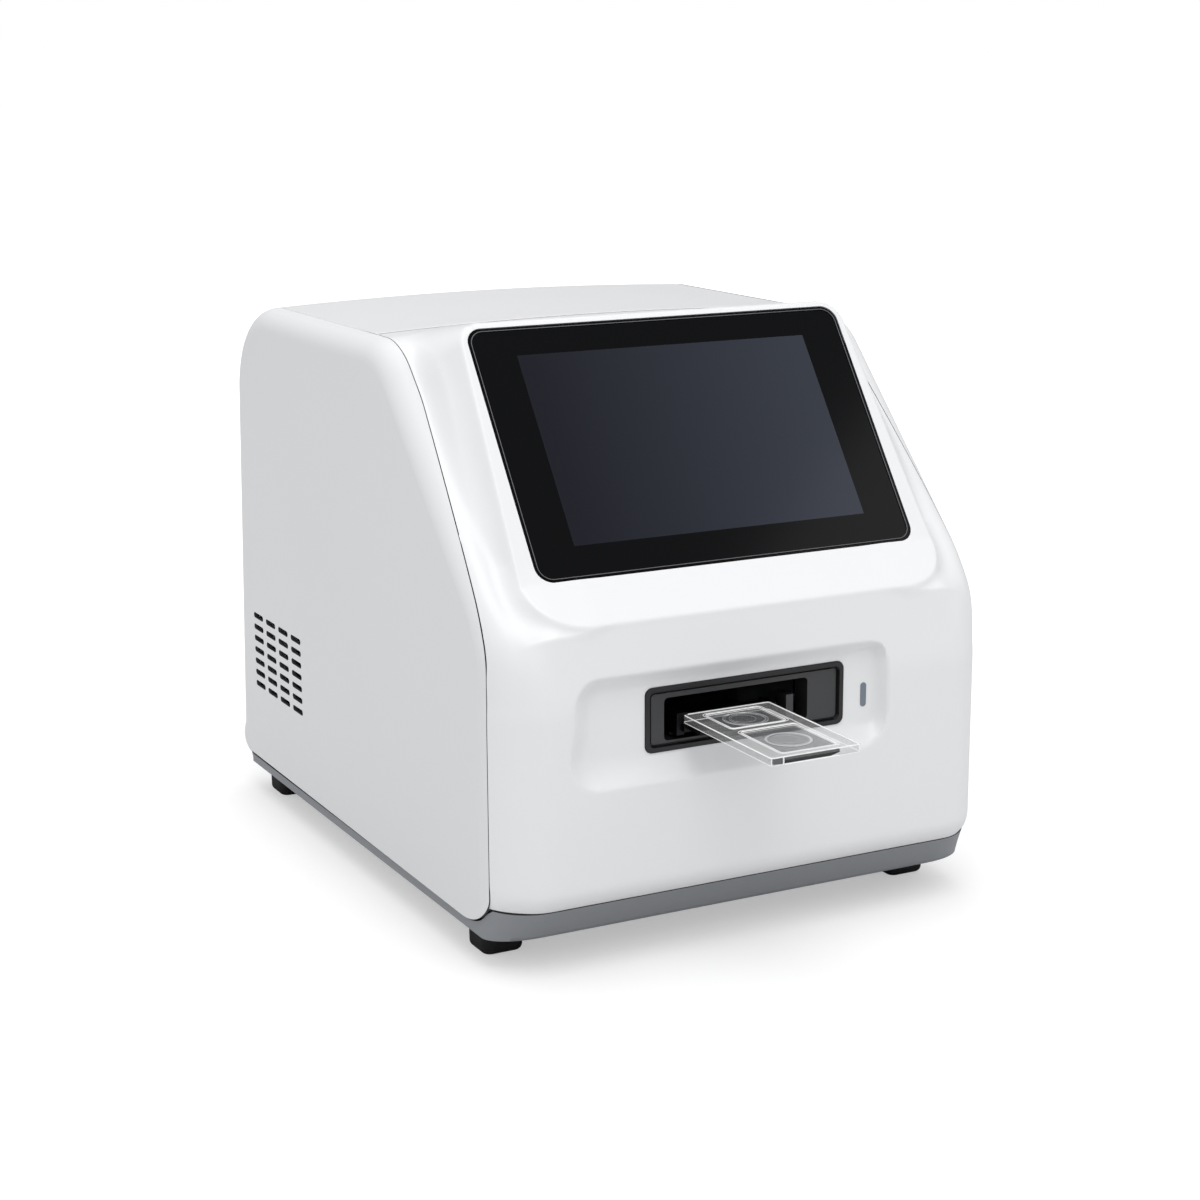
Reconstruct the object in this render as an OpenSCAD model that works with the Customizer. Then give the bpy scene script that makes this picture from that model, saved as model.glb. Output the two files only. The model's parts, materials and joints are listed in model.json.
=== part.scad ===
// Automated cell counter: a bench instrument with a sloping touch screen, a motor-driven
// slot for a clear counting slide, and a small bright-field microscope inside.
// Millimetres. +Z up, the front faces -Y. The origin lies on the ground, in the middle of
// the object's outer box with the slide drawn out.

/* [Casing] */
// Width over the side panels
body_w = 184; // [181:1:190]
// Depth from the front face to the rear
body_d = 245.2; // [242:0.2:252]
// Height of the top cover above the tray's bottom
body_h = 183; // [182:0.25:185]
// Wall of the moulded shells
wall = 2.8; // [2.5:0.1:3]
// Radius of the fascia's upright corners
corner_r = 20; // [18:0.5:21]
// Radius of the rolled edges at the top and rear
edge_r = 8; // [7:0.5:8.5]
// Gap in the seams between the shells
seam = 0.3; // [0.2:0.05:0.35]
// How far the cover's middle rises above its sides
crown = 4.6; // [3:0.2:5]

/* [Feet and tray] */
// Height of a rubber foot
foot_h = 9; // [7:0.5:11]
// Diameter of a rubber foot
foot_d = 15; // [13:0.5:16]
// Height of the tray's side band
band_h = 5.5; // [5:0.25:6]
// Thickness of the tray's floor
floor_t = 2.5; // [2:0.1:3]

/* [Screen] */
// Slope of the screen above level
screen_tilt = 54.1; // [53.6:0.1:54.6]
// Width of the cover glass
glass_w = 140.2; // [137:0.2:141]
// Height of the cover glass along the slope
glass_h = 90.3; // [88:0.1:91]
// Thickness of the cover glass
glass_t = 1.8; // [1.5:0.1:2]
// Width of the lit area
lit_w = 108; // [100:1:110]
// Height of the lit area
lit_h = 67.5; // [63:0.5:69]

/* [Counting slide] */
// Width of the counting slide
slide_w = 32; // [31:0.25:33]
// Length of the counting slide
slide_l = 53.7; // [52:0.1:55]
// Thickness of the counting slide
slide_t = 2.65; // [2.4:0.05:2.8]
// Height of the slide's top face
slide_z = 70.3; // [69.8:0.1:70.6]
// How far the slide stands out in front of the fascia
slide_out = 48.2; // [46.5:0.1:49.5]
// Stroke of the carriage
stroke = 68; // [62:1:70]

/* [Slot] */
// Width of the slot's opening
slot_w = 53.4; // [52:0.2:55]
// Height of the slot's opening
slot_h = 14.1; // [13.6:0.1:14.5]
// Depth of the hollow around the slot
hollow_d = 5; // [4:0.25:5.5]

/* [Mechanism] */
// Radius of the guide rods
rod_r = 3; // [2.5:0.1:3.2]
// Radius of the carriage's lead screw
screw_r = 2.5; // [2:0.1:3]
// Running clearance of rods and screws
run_fit = 0.06; // [0.04:0.01:0.08]
// Side of the carriage motor
motor_s = 28; // [26:1:30]
// Radius of the objective
objective_r = 10; // [8:0.5:11]
// Lift of the focus drive each way
focus_lift = 2; // [1:0.25:2.5]

/* [Cooling] */
// Side of the square fan
fan_s = 60; // [56:1:62]
// Columns of side vents
vent_cols = 4; // [2:1:4]
// Rows of side vents
vent_rows = 7; // [4:1:8]
// Length of one vent
vent_l = 10; // [8:0.5:11]
// Height of one vent
vent_t = 1.6; // [1.2:0.1:2]

/* [Hidden] */
$fn = 48;
eps = 0.01;

// the frame: every module below works with the front face at y = 0 and the tray's bottom
// at z = 0, and place() brings it to the origin on the ground
module place() translate([0, -mid_y, foot_h]) children();

// ---- outlines ----
function unit(v) = v / norm(v);
function corner_arc(a, b, c, r, n) = r <= 0 ? [b] :
  let (u = unit(a - b), v = unit(c - b), half = acos(u * v) / 2,
       m = b + unit(u + v) * (r / sin(half)), p = b + u * (r / tan(half)),
       q = b + v * (r / tan(half)), a0 = atan2(p.y - m.y, p.x - m.x),
       d0 = atan2(q.y - m.y, q.x - m.x) - a0,
       d = d0 > 180 ? d0 - 360 : d0 < -180 ? d0 + 360 : d0)
  [for (k = [0 : n]) m + r * [cos(a0 + d * k / n), sin(a0 + d * k / n)]];
// a polygon's points with the corner radii rs
function rounded(pts, rs, n = 6) = let (c = len(pts))
  [for (i = [0 : c - 1]) each
    corner_arc(pts[(i + c - 1) % c], pts[i], pts[(i + 1) % c], rs[i], n)];
function rrect(w, h, r, n = 5) =
  rounded([[-w/2, -h/2], [w/2, -h/2], [w/2, h/2], [-w/2, h/2]], [r, r, r, r], n);

// a flat shape in (y, z) drawn out along X, and one in (x, z) drawn out along Y
module along_x(x0, x1) translate([x0, 0, 0]) rotate([90, 0, 90])
  linear_extrude(x1 - x0) children();
module along_y(y0, y1) translate([0, y1, 0]) rotate([90, 0, 0])
  linear_extrude(y1 - y0) children();
module box(lo, hi) translate(lo) cube(hi - lo);
module rod_y(x, z, r, y0, y1) translate([x, y0, z]) rotate([-90, 0, 0])
  cylinder(r = r, h = y1 - y0);
module rod_z(x, y, r, z0, z1) translate([x, y, z0]) cylinder(r = r, h = z1 - z0);

// ---- the casing's shape ----
half_w = body_w / 2;
slope = 45;                  // slope of the casing beside the screen's frame
slope_at = [26, body_h - 66]; // a point of that slope, in (y, z)
bend_r = 40;                 // bend from the front face to the slope
brow_r = 14;                 // bend from the slope to the top
rear_r = 35;                 // bend from the top to the rear
heel_r = 12;                 // bend from the rear to the bottom
lean = 3.3;                  // the rear leans forwards
heel = [body_d - heel_r, band_h + heel_r];
rear_k = heel.x * cos(lean) + heel.y * sin(lean) + heel_r;
function rear_y(z, i = 0) = (rear_k - i - z * sin(lean)) / cos(lean);
function side_outline(i) = rounded(
  [[i, band_h + i],
   [i, slope_at.y + tan(slope) * (i - slope_at.x) - i / cos(slope)],
   [slope_at.x + (body_h - i - slope_at.y + i / cos(slope)) / tan(slope), body_h - i],
   [rear_y(body_h - i, i), body_h - i],
   [rear_y(band_h + i, i), band_h + i]],
  [0, bend_r - i, brow_r - i, rear_r - i, heel_r - i], 8);
// a section with rounded upper corners, h deep below y = -i
function edge_section(i, r, h) = rounded(
  [[-half_w + i, -h], [half_w - i, -h], [half_w - i, -i], [-half_w + i, -i]],
  [0, 0, r - i, r - i], 6);

module on_rear() translate([0, rear_k / cos(lean), 0]) rotate([lean, 0, 0]) children();

// the whole casing as one solid, i inside its outer face
module casing(i) intersection() {
  along_x(-half_w + i, half_w - i) polygon(side_outline(i));
  translate([0, 0, -1]) linear_extrude(body_h + 20) polygon(rounded(
    [[-half_w + i, i], [half_w - i, i], [half_w - i, body_d + 9], [-half_w + i, body_d + 9]],
    [corner_r - i, corner_r - i, 0, 0], 8));
  translate([0, 0, body_h]) along_y(-5, body_d + 9) polygon(edge_section(i, edge_r, 300));
  translate([0, slope_at.x, slope_at.y]) rotate([slope, 0, 0]) along_y(-400, 400)
    polygon(edge_section(i, edge_r, 400));
  on_rear() translate([0, 0, -60]) linear_extrude(400) polygon(edge_section(i, edge_r, 400));
}

// ---- the screen's raised frame ----
screen_at = [67.9, body_h + 0.1];  // top of the screen plane's datum, in (y, z)
module on_screen() translate([0, screen_at.x, screen_at.y]) rotate([screen_tilt, 0, 0])
  children();
frame_top = 8.3;      // upper edge above the datum, along the slope
frame_low = 100.3;    // lower edge below it
frame_w0 = 72.2;      // half width at the upper edge
frame_w1 = 77.8;      // half width at the lower edge
draft = 27.5;         // slope of the frame's walls
frame_deep = 42;      // depth over which the walls are drawn, down under the top
hollow_deep = 24;     // depth of the cavity behind the frame
glass_mid = -39.15;   // the glass's middle, below the datum
glass_sunk = 0.3;     // the glass lies this far below the frame
face_t = wall + 1.2;  // thickness of the frame's face
function frame_outline(e) = rounded(
  [[-frame_w1 - e, -frame_low - e], [frame_w1 + e, -frame_low - e],
   [frame_w0 + e, frame_top + e * 0.94], [-frame_w0 - e, frame_top + e * 0.94]],
  [19, 19, 8, 8], 8);
// outer shape with t = 0, cavity with the face t and the walls i thick
module raised_frame(t, i, deep) on_screen() hull() {
  translate([0, 0, -t - eps]) linear_extrude(eps)
    polygon(frame_outline(t * tan(draft) - i / cos(draft)));
  translate([0, 0, -deep]) linear_extrude(eps)
    polygon(frame_outline(deep * tan(draft) - i / cos(draft)));
}

// the cover's crowned section, z measured from body_h
function crown_section(h, w, n = 16) = concat([[w, -9], [-w, -9]],
  [for (k = [0 : n]) let (x = w * (2 * k / n - 1)) [x, h * (1 - pow(x / w, 2))]]);

// ---- seams, in plan ----
seam_y = 13.8;               // the side panels start here
cover_y = 113;               // the top cover starts here
seam_x0 = half_w - 1.1;      // the seam's half width at the side panels' front edge
seam_x1 = half_w - edge_r;   // its half width along the top
seam_y1 = 75;                // it has run in by here
cover_z = 150;               // the rear panel ends here
function side_plan(s) = [for (p = [[half_w + 9, seam_y], [seam_x0, seam_y],
  [seam_x1, seam_y1], [seam_x1, body_d + 20], [half_w + 9, body_d + 20]]) [s * p.x, p.y]];
function fascia_plan() = [[-half_w - 9, -9], [half_w + 9, -9],
  [half_w + 9, seam_y - seam], [seam_x0 - seam, seam_y - seam],
  [seam_x1 - seam, seam_y1], [seam_x1 - seam, cover_y], [-seam_x1 + seam, cover_y],
  [-seam_x1 + seam, seam_y1], [-seam_x0 + seam, seam_y - seam],
  [-half_w - 9, seam_y - seam]];
// side panels end at the bottom in a long curve over the tray
toe = [19.2, 11.5];          // its length and height
function toe_curve(n = 12) = [for (k = [0 : n]) let (a = 90 * k / n)
  [seam_y + toe.x * (1 - cos(a)), band_h + toe.y * (1 - sin(a))]];
function above_toe(top) = concat(toe_curve(), [[body_d + 30, band_h], [body_d + 30, top],
  [seam_y, top]]);

// ---- slot ----
slide_x = -10.4;                    // the slide's middle
slot_at = [-6.4, 69.45];            // the slot's middle, in (x, z)
hollow_mid = [-10.1, 69.6];         // the hollow's middle
hollow_w = 116.8;
hollow_h = 36.8;
hollow_fall = [3, 6];               // how far its ends, and its top and bottom, run in
bezel_w = 73.8;
bezel_h = 21.2;
bezel_at = [-3.3, 69.9];
flange_over = 6;                    // how much larger its flange is
light_at = [41.7, 67.9];            // the status light's middle
light_w = 2.2;
light_h = 8.2;
lip_z = 13.1;                       // lower edge of the fascia
lip_in = 3.1;                       // the fascia rolls in this far at its lower edge

module at_xz(p) translate([p.x, 0, p.y]) children();
module hollow(y0, d, e) at_xz(hollow_mid) hull() {
  along_y(y0, y0 + eps) polygon(rrect(hollow_w + 2*e, hollow_h + 2*e, 11 + e, 8));
  along_y(d - eps, d) polygon(
    rrect(hollow_w - 2*hollow_fall.x + 2*e, hollow_h - 2*hollow_fall.y + 2*e, 7 + e, 8));
}

// ---- shells ----
light_grey = [0.84, 0.85, 0.86];
white = [0.92, 0.93, 0.94];
tray_grey = [0.5, 0.51, 0.53];

boss_y = [36, 120, body_d - 37.2];
boss_xy = [for (y = boss_y, x = [-60, 60]) [x, y]];
plate_z = 9;          // underside of the chassis plate
plate_t = 1.5;
tray_in = 1;          // the tray's sides lie inside the panels' faces
chin = 11.7;          // the tray's front edge at its bottom
foot_x = half_w - 6 - foot_d / 2;
foot_y = [36.5, body_d - 21];

module base_tray() color(tray_grey) place() difference() {
  union() {
    difference() {
      intersection() {
        along_x(-half_w + tray_in, half_w - tray_in) polygon(
          [[chin, 0], [body_d - 7, 0], [body_d - 2.4, 5], [body_d - 2.4, lip_z],
           [lip_in + 0.3, lip_z]]);
        linear_extrude(lip_z) polygon(rounded(
          [[-half_w + tray_in, lip_in + 0.3], [half_w - tray_in, lip_in + 0.3],
           [half_w - tray_in, body_d - 2.4], [-half_w + tray_in, body_d - 2.4]],
          [corner_r - 3, corner_r - 3, edge_r, edge_r], 8));
      }
      // the side panels, the rear panel and the inside
      along_x(-half_w - 1, half_w + 1) polygon(above_toe(60));
      translate([0, 0, floor_t]) linear_extrude(lip_z) polygon(rounded(
        [[-half_w + 5, chin + 5], [half_w - 5, chin + 5],
         [half_w - 5, body_d - 6], [-half_w + 5, body_d - 6]], [9, 9, 4, 4], 5));
      along_x(-half_w + corner_r, half_w - corner_r)
        polygon([[chin + 6, floor_t], [lip_in + 4, lip_z + 1], [chin + 6, lip_z + 1]]);
    }
    for (p = boss_xy) rod_z(p.x, p.y, 4.5, floor_t - 1, plate_z);
  }
  for (p = boss_xy) {
    rod_z(p.x, p.y, 1.65, -1, plate_z + 1);
    rod_z(p.x, p.y, 3.3, -1, 2);
  }
}

module side_panel(s) color(light_grey) place() difference() {
  intersection() {
    difference() { casing(0); casing(wall); }
    linear_extrude(body_h + 9) polygon(side_plan(s));
    along_x(-half_w - 1, half_w + 1) polygon(above_toe(body_h + 9));
  }
  for (c = [0 : vent_cols - 1], r = [0 : vent_rows - 1])
    translate([0, body_d - 26.1 - c * 13.4, 63.7 - r * 4.5])
      along_x(s < 0 ? -half_w - 1 : half_w - wall - 1, s < 0 ? -half_w + wall + 1 : half_w + 1)
        polygon(rrect(vent_l, vent_t, vent_t / 2 - 0.05, 4));
}
module left_side_panel() side_panel(-1);
module right_side_panel() side_panel(1);

post_xs = [[-66, -3], [66, -3], [-66, -75], [66, -75]]; // display posts, on the screen plane
post_z = -7.4;                                          // their ends
module front_fascia() color(white) place() difference() {
  union() {
    intersection() {
      difference() {
        union() {
          casing(0);
          intersection() {
            raised_frame(0, 0, frame_deep);
            // its shoulders fall to the top seams
            along_y(-9, cover_y) polygon([[-seam_x1 + 9, body_h + 9], [-seam_x1 + 5, body_h + 1],
              [-seam_x1 + seam, body_h - 0.5], [-half_w, 60], [half_w, 60],
              [seam_x1 - seam, body_h - 0.5], [seam_x1 - 5, body_h + 1],
              [seam_x1 - 9, body_h + 9]]);
          }
          // the crown's start hides under the frame's back
          translate([0, 0, body_h]) hull() {
            along_y(84, 84 + eps) polygon(crown_section(crown, frame_w0 - 4));
            along_y(cover_y - eps, cover_y) polygon(crown_section(crown, seam_x1 - seam));
          }
        }
        casing(wall);
        raised_frame(face_t, wall, hollow_deep);
      }
      linear_extrude(body_h + 30) polygon(fascia_plan());
      box([-half_w, -1, lip_z], [half_w, cover_y + 1, body_h + 30]);
    }
    intersection() {
      hollow(0, hollow_d + wall, wall * 0.8);
      casing(0);
    }
    on_screen() for (p = post_xs) translate([p.x, p.y, post_z])
      cylinder(r = 3, h = -post_z - face_t + 0.5);
  }
  hollow(-1, hollow_d, 0);
  at_xz(bezel_at) along_y(0, 20) polygon(rrect(bezel_w + 0.3, bezel_h + 0.3, 2.6));
  // room for the bezel's flange and for the throat behind it
  at_xz(bezel_at) along_y(hollow_d + wall, hollow_d + wall + 2.1)
    polygon(rrect(bezel_w + flange_over + 0.6, bezel_h + flange_over + 0.6, 2.8));
  at_xz(slot_at) along_y(hollow_d, throat_y + 1)
    polygon(rrect(slot_w + 3.6, slot_h + 3.6, slot_r + 1.8));
  at_xz(light_at) along_y(0, 20) polygon(rrect(light_w + 0.2, light_h + 0.2, light_w / 2));
  on_screen() {
    translate([0, glass_mid, -glass_sunk - glass_t]) linear_extrude(9)
      polygon(rrect(glass_w + 0.4, glass_h + 0.4, 5.7));
    translate([0, glass_mid, -12]) linear_extrude(15)
      polygon(rrect(lit_w + 16, lit_h + 12, 3));
    for (p = post_xs) translate([p.x, p.y, post_z - 1]) cylinder(r = 1.3, h = 4.2);
  }
  // the rolled lower edge
  along_x(-half_w, half_w) polygon([[-1, lip_z - 1], [-1, 20], [0, 20], [0.25, 17.2],
    [1.1, 14.9], [lip_in, lip_z], [lip_in, lip_z - 1]]);
}

module top_cover() color(white) place() intersection() {
  difference() {
    union() {
      casing(0);
      translate([0, 0, body_h]) hull() {
        along_y(cover_y, cover_y + eps) polygon(crown_section(crown, seam_x1 - seam));
        along_y(body_d - 36, body_d - 36 + eps)
          polygon(crown_section(0.1, seam_x1 - seam));
      }
    }
    casing(wall);
    translate([0, 0, body_h - wall]) hull() {
      along_y(cover_y - 1, cover_y - 1 + eps) polygon(crown_section(crown, seam_x1 - 4));
      along_y(body_d - 44, body_d - 44 + eps) polygon(crown_section(0.1, seam_x1 - 4));
    }
  }
  box([-seam_x1 + seam, cover_y + seam, cover_z], [seam_x1 - seam, body_d + 9, body_h + 30]);
}

// places on the rear panel: x, and the height along it
function rear_at(x, h) = [x, rear_y(0) - h * sin(lean), h * cos(lean)];
// local +Z points out of the rear face, local +Y up, local +X towards -X
module at_rear(x, h) translate(rear_at(x, h)) rotate([lean - 90, 0, 0])
  rotate([0, 0, 180]) children();
inlet_at = [36 - half_w, 33];
switch_at = [inlet_at.x + 36, 33];
fan_at = [0, 104];
lan_at = [half_w - 40, 26];
usb_at = [lan_at.x - 22, 27];
flange_t = 1.5;        // flanges of inlet and switch on the rear panel
rock = 7;              // the rocker's tilt each way
rocker_top = 1.2;      // its edge above the panel when level
rocker_w = 7.4;        // its half width
pivot = 2.5;           // its pins lie this deep
// the rearmost point: the flange's lower edge or the rocker's raised corner
rear_most = max(rear_at(0, inlet_at.y).y + flange_t * cos(lean) + 12 * sin(lean),
  rear_at(0, switch_at.y).y + ((rocker_top + pivot) * cos(rock) + rocker_w * sin(rock) - pivot)
    * cos(lean) + 4.8 * sin(lean));
mid_y = (rear_most - slide_out) / 2;
module rear_cut(p, w, h, r) at_rear(p.x, p.y) translate([0, 0, -wall - 3])
  linear_extrude(wall + 6) polygon(rrect(w, h, r));

module rear_panel() color(light_grey) place() difference() {
  intersection() {
    difference() { casing(0); casing(wall); }
    box([-seam_x1 + seam, body_d - 14, band_h], [seam_x1 - seam, body_d + 9, cover_z - seam]);
  }
  rear_cut(inlet_at, 27.6, 20.2, 3);
  rear_cut(switch_at, 19.3, 13, 0.5);
  rear_cut(usb_at, 13.9, 16.5, 0.5);
  rear_cut(lan_at, 16.6, 14.1, 0.5);
  at_rear(fan_at.x, fan_at.y) {
    difference() {
      union() for (r = [9, 15, 21]) translate([0, 0, -wall - 2]) difference() {
        cylinder(r = r + 4.4, h = wall + 4);
        translate([0, 0, -1]) cylinder(r = r, h = wall + 6);
      }
      for (a = [0, 90]) rotate([0, 0, a + 45]) translate([-30, -1.5, -wall - 4])
        cube([60, 3, wall + 9]);
    }
    for (x = [-1, 1], y = [-1, 1]) translate([x, y, 0] * (fan_s / 2 - 5))
      translate([0, 0, -wall - 2]) cylinder(r = 2.2, h = wall + 4);
  }
}

// ---- screen ----
module screen_glass() color([0.07, 0.07, 0.08]) place() on_screen()
  translate([0, glass_mid, -glass_sunk - glass_t]) linear_extrude(glass_t)
    polygon(rrect(glass_w, glass_h, 5.5));

lcd_z = -glass_sunk - glass_t - 0.05;    // front of the display panel
module display_module() color([0.16, 0.17, 0.19]) place() on_screen()
  translate([0, glass_mid, lcd_z - 4]) {
    linear_extrude(4) polygon(rrect(lit_w + 12, lit_h + 8, 1));
    translate([-20, -lit_h / 2 - 1, -1]) cube([40, 10, 1.5]);
  }

bracket_t = 1.2;
board_z = -16;                            // top of the main board
board_s = [112, 60];
board_mid = -31;
standoffs = [for (x = [-1, 1], y = [-1, 1]) [x * (board_s.x / 2 - 4),
  board_mid + y * (board_s.y / 2 - 4)]];
module display_bracket() color([0.62, 0.63, 0.65]) place() on_screen() {
  difference() {
    translate([0, glass_mid, post_z - bracket_t]) linear_extrude(bracket_t)
      polygon(rrect(139, 82, 3));
    translate([0, glass_mid, post_z - bracket_t - 1]) linear_extrude(bracket_t + 2)
      polygon(rrect(60, 34, 3));
    for (p = post_xs) translate([p.x, p.y, post_z - 5]) cylinder(r = 1.5, h = 9);
  }
  for (p = standoffs) translate([p.x, p.y, board_z]) cylinder(r = 2.5,
    h = post_z - bracket_t - board_z + 0.2);
  // pads that carry the display
  for (x = [-1, 1]) translate([x * (lit_w / 2 - 4) - 4, glass_mid - 20, post_z - 0.2])
    cube([8, 40, lcd_z - 4 - post_z + 0.2]);
}

module display_screws() color([0.35, 0.35, 0.37]) place() on_screen()
  for (p = post_xs) translate([p.x, p.y, post_z - bracket_t]) {
    translate([0, 0, -1.5]) cylinder(r = 2.3, h = 1.5);
    cylinder(r = 1.25, h = bracket_t + 2.8);
  }

module main_board() color([0.05, 0.3, 0.16]) place() on_screen() difference() {
  translate([0, board_mid, board_z - 1.6]) linear_extrude(1.6)
    polygon(rrect(board_s.x, board_s.y, 2));
  for (x = [-1, 1]) translate([x * 30, board_mid, board_z - 3]) cylinder(r = 1.5, h = 5);
}

module main_board_parts() color([0.12, 0.12, 0.13]) place() on_screen()
  translate([0, board_mid, board_z - 1.6]) {
    translate([-11, -11, -2]) cube([22, 22, 2]);
    for (k = [0 : 5]) translate([-10 + k * 4, -10, -7]) cube([1.2, 20, 5.2]);
    for (k = [-1, 1]) translate([k * 26 - 6, -8, -1.2]) cube([12, 16, 1.2]);
    translate([-48, -24, -6]) cube([8, 26, 6]);
    translate([36, 14, -5]) cube([16, 8, 5]);
    for (k = [0 : 2]) translate([42, -20 + k * 9, -6]) cylinder(r = 3, h = 6);
  }

// ---- slot bezel and status light ----
rim = 1.5;            // width of the bezel's raised rim
groove = 0.9;         // width of the groove inside it
slot_r = 1.5;
throat_y = 13;        // the bezel's throat ends here
slot_floor = slot_at.y - slot_h / 2;
module slot_bezel() color([0.3, 0.3, 0.31]) place() difference() {
  union() {
    difference() {
      at_xz(bezel_at) along_y(hollow_d - 0.5, hollow_d + wall + 0.3)
        polygon(rrect(bezel_w, bezel_h, 2.5));
      // the groove, and the plate sunk inside it
      at_xz(bezel_at) along_y(hollow_d - 1, hollow_d + 1.6)
        polygon(rrect(bezel_w - 2 * rim, bezel_h - 2 * rim, 1.6));
    }
    at_xz(bezel_at) along_y(hollow_d + 0.5, hollow_d + 2)
      polygon(rrect(bezel_w - 2 * (rim + groove), bezel_h - 2 * (rim + groove), 1.2));
    at_xz(bezel_at) along_y(hollow_d + wall + 0.1, hollow_d + wall + 1.8)
      polygon(rrect(bezel_w + flange_over, bezel_h + flange_over, 2.5));
    at_xz(slot_at) along_y(hollow_d + 2, throat_y)
      polygon(rrect(slot_w + 3, slot_h + 3, slot_r + 1.5));
  }
  at_xz(slot_at) along_y(0, throat_y + 1) difference() {
    polygon(rrect(slot_w, slot_h, slot_r));
    // a guide rib stands on the slot's floor
    translate([19.4, -slot_h / 2 - 1]) square([2.7, 9.7]);
  }
  // the rib stands back from the bezel's face
  box([12.5, hollow_d - 1, slot_floor + 0.01], [16.3, hollow_d + 1.8, slot_floor + 10]);
}

module status_light() color([0.5, 0.56, 0.6]) place() at_xz(light_at) {
  along_y(hollow_d - 0.2, hollow_d + wall + 0.1)
    polygon(rrect(light_w, light_h, light_w / 2 - 0.05));
  along_y(hollow_d + wall + 0.05, hollow_d + wall + 1.6)
    polygon(rrect(light_w + 2, light_h + 2, 1));
}

// ---- counting slide and carriage ----
slide_y0 = -slide_out;
slide_y1 = slide_l - slide_out;
slide_lo = slide_z - slide_t;
// chambers: middle of each in y, its width and length
chamber_y = [slide_y0 + 16, slide_y0 + 41.6];
chamber_w = 20;
chamber_l = [25, 17.4];
module counting_slide() color([0.85, 0.88, 0.9, 0.5]) place() difference() {
  translate([slide_x, (slide_y0 + slide_y1) / 2, slide_lo]) linear_extrude(slide_t)
    polygon(rrect(slide_w, slide_l, 0.8, 3));
  for (k = [0, 1]) translate([slide_x, chamber_y[k], 0]) {
    translate([0, 0, slide_z - 0.6]) linear_extrude(1)
      polygon(rrect(chamber_w, chamber_l[k], 1.2));
    // the ring of the counting chamber
    translate([0, 0, slide_z - 0.9]) difference() {
      cylinder(r = 7.4, h = 0.5);
      translate([0, 0, -1]) cylinder(r = 6.6, h = 3);
    }
  }
  // pocket of the dark strip
  box([slide_x - 11.2, slide_y0 - 1, slide_lo - 0.01],
      [slide_x + 8.4, slide_y0 + 1.5, slide_lo + slide_t * 0.55]);
}
module slide_strip() color([0.25, 0.25, 0.27]) place()
  box([slide_x - 11.1, slide_y0 + 0.05, slide_lo + 0.02],
      [slide_x + 8.3, slide_y0 + 1.45, slide_lo + slide_t * 0.54]);

rod_z0 = 50;                     // height of rods and lead screw
rod_dx = 26;                     // rods, each side of the slide's middle
lead_dx = 14;                    // lead screw, beside it
block_y = [24, 40];              // the carriage's block, with the slide out
block_z = [43, 57];
arm_z = [slide_lo - 4.8, slide_lo - 0.35];
module slide_carriage() color([0.2, 0.2, 0.21]) place() translate([slide_x, 0, 0])
  difference() {
    union() {
      box([-33, block_y[0], block_z[0]], [33, block_y[1], block_z[1]]);
      box([-12, block_y[0], block_z[1] - 1], [12, block_y[1], arm_z[1]]);
      box([-12, slide_y1 + 3.5, arm_z[0]], [12, block_y[1], arm_z[1]]);
      // crosspiece with the cheeks, and the rest under the slide
      box([-slide_w/2 - 2.8, slide_y1 + 3.5, arm_z[0]], [slide_w/2 + 2.1, slide_y1 + 6.5,
        arm_z[1]]);
      box([-slide_w/2 - 2.8, slide_y1 - 1.3, slide_z - 6.3],
          [-slide_w/2 - 0.1, slide_y1 + 6.5, slide_z + 0.9]);
      box([slide_w/2 + 0.1, slide_y1 - 1.3, slide_z - 6.3],
          [slide_w/2 + 2.1, slide_y1 + 6.5, slide_z - 0.3]);
      box([-slide_w/2 - 1, slide_y1 - 2.9, slide_lo - 2.4],
          [slide_w/2 + 1, slide_y1 + 4, slide_lo]);
      for (s = [-1, 1]) box([s * (slide_w/2 - 2) - 2, slide_y1 - 11.5, slide_lo - 1.4],
        [s * (slide_w/2 - 2) + 2, slide_y1, slide_lo]);
      box([-slide_w/2 - 1, slide_y1 + 0.3, slide_lo - 1],
          [slide_w/2 + 1, slide_y1 + 3.6, slide_z - 0.1]);
      // lip over the slide's edge
      box([-slide_w/2 - 1, slide_y1 - 1.3, slide_z + 0.1],
          [-slide_w/2 + 1.2, slide_y1 + 0.5, slide_z + 0.9]);
    }
    for (s = [-1, 1]) rod_y(s * rod_dx, rod_z0, rod_r + run_fit, 20, 50);
    rod_y(lead_dx, rod_z0, screw_r + 2.5, 20, 50);
  }

module lead_nut() color([0.75, 0.6, 0.3]) place() translate([slide_x + lead_dx, 0, rod_z0])
  difference() {
    union() {
      rod_y(0, 0, screw_r + 2.5, block_y[0], block_y[1] + 0.5);
      rod_y(0, 0, screw_r + 4.4, block_y[1], block_y[1] + 3);
    }
    rod_y(0, 0, screw_r + run_fit, block_y[0] - 1, block_y[1] + 5);
  }

wall_y = [15, block_y[1] + stroke + 9];   // the stage's two end walls
wall_t = 5;
stage_x = [slide_x - 46, slide_x + 67.5];
stage_z = plate_z + plate_t;
module guide_rods() color([0.8, 0.81, 0.83]) place() translate([slide_x, 0, 0])
  for (s = [-1, 1]) rod_y(s * rod_dx, rod_z0, rod_r, wall_y[0], wall_y[1] + wall_t);

module stage_frame() color([0.7, 0.71, 0.73]) place() difference() {
  union() {
    box([stage_x[0], wall_y[0], stage_z], [stage_x[1], wall_y[1] + wall_t, stage_z + 4]);
    for (y = wall_y) box([slide_x - 34, y, stage_z + 3], [slide_x + 34, y + wall_t, 58]);
  }
  for (s = [-1, 1]) rod_y(slide_x + s * rod_dx, rod_z0, rod_r + 0.02, 0, 200);
  rod_y(slide_x + lead_dx, rod_z0, screw_r + run_fit, 0, 200);
}

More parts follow.
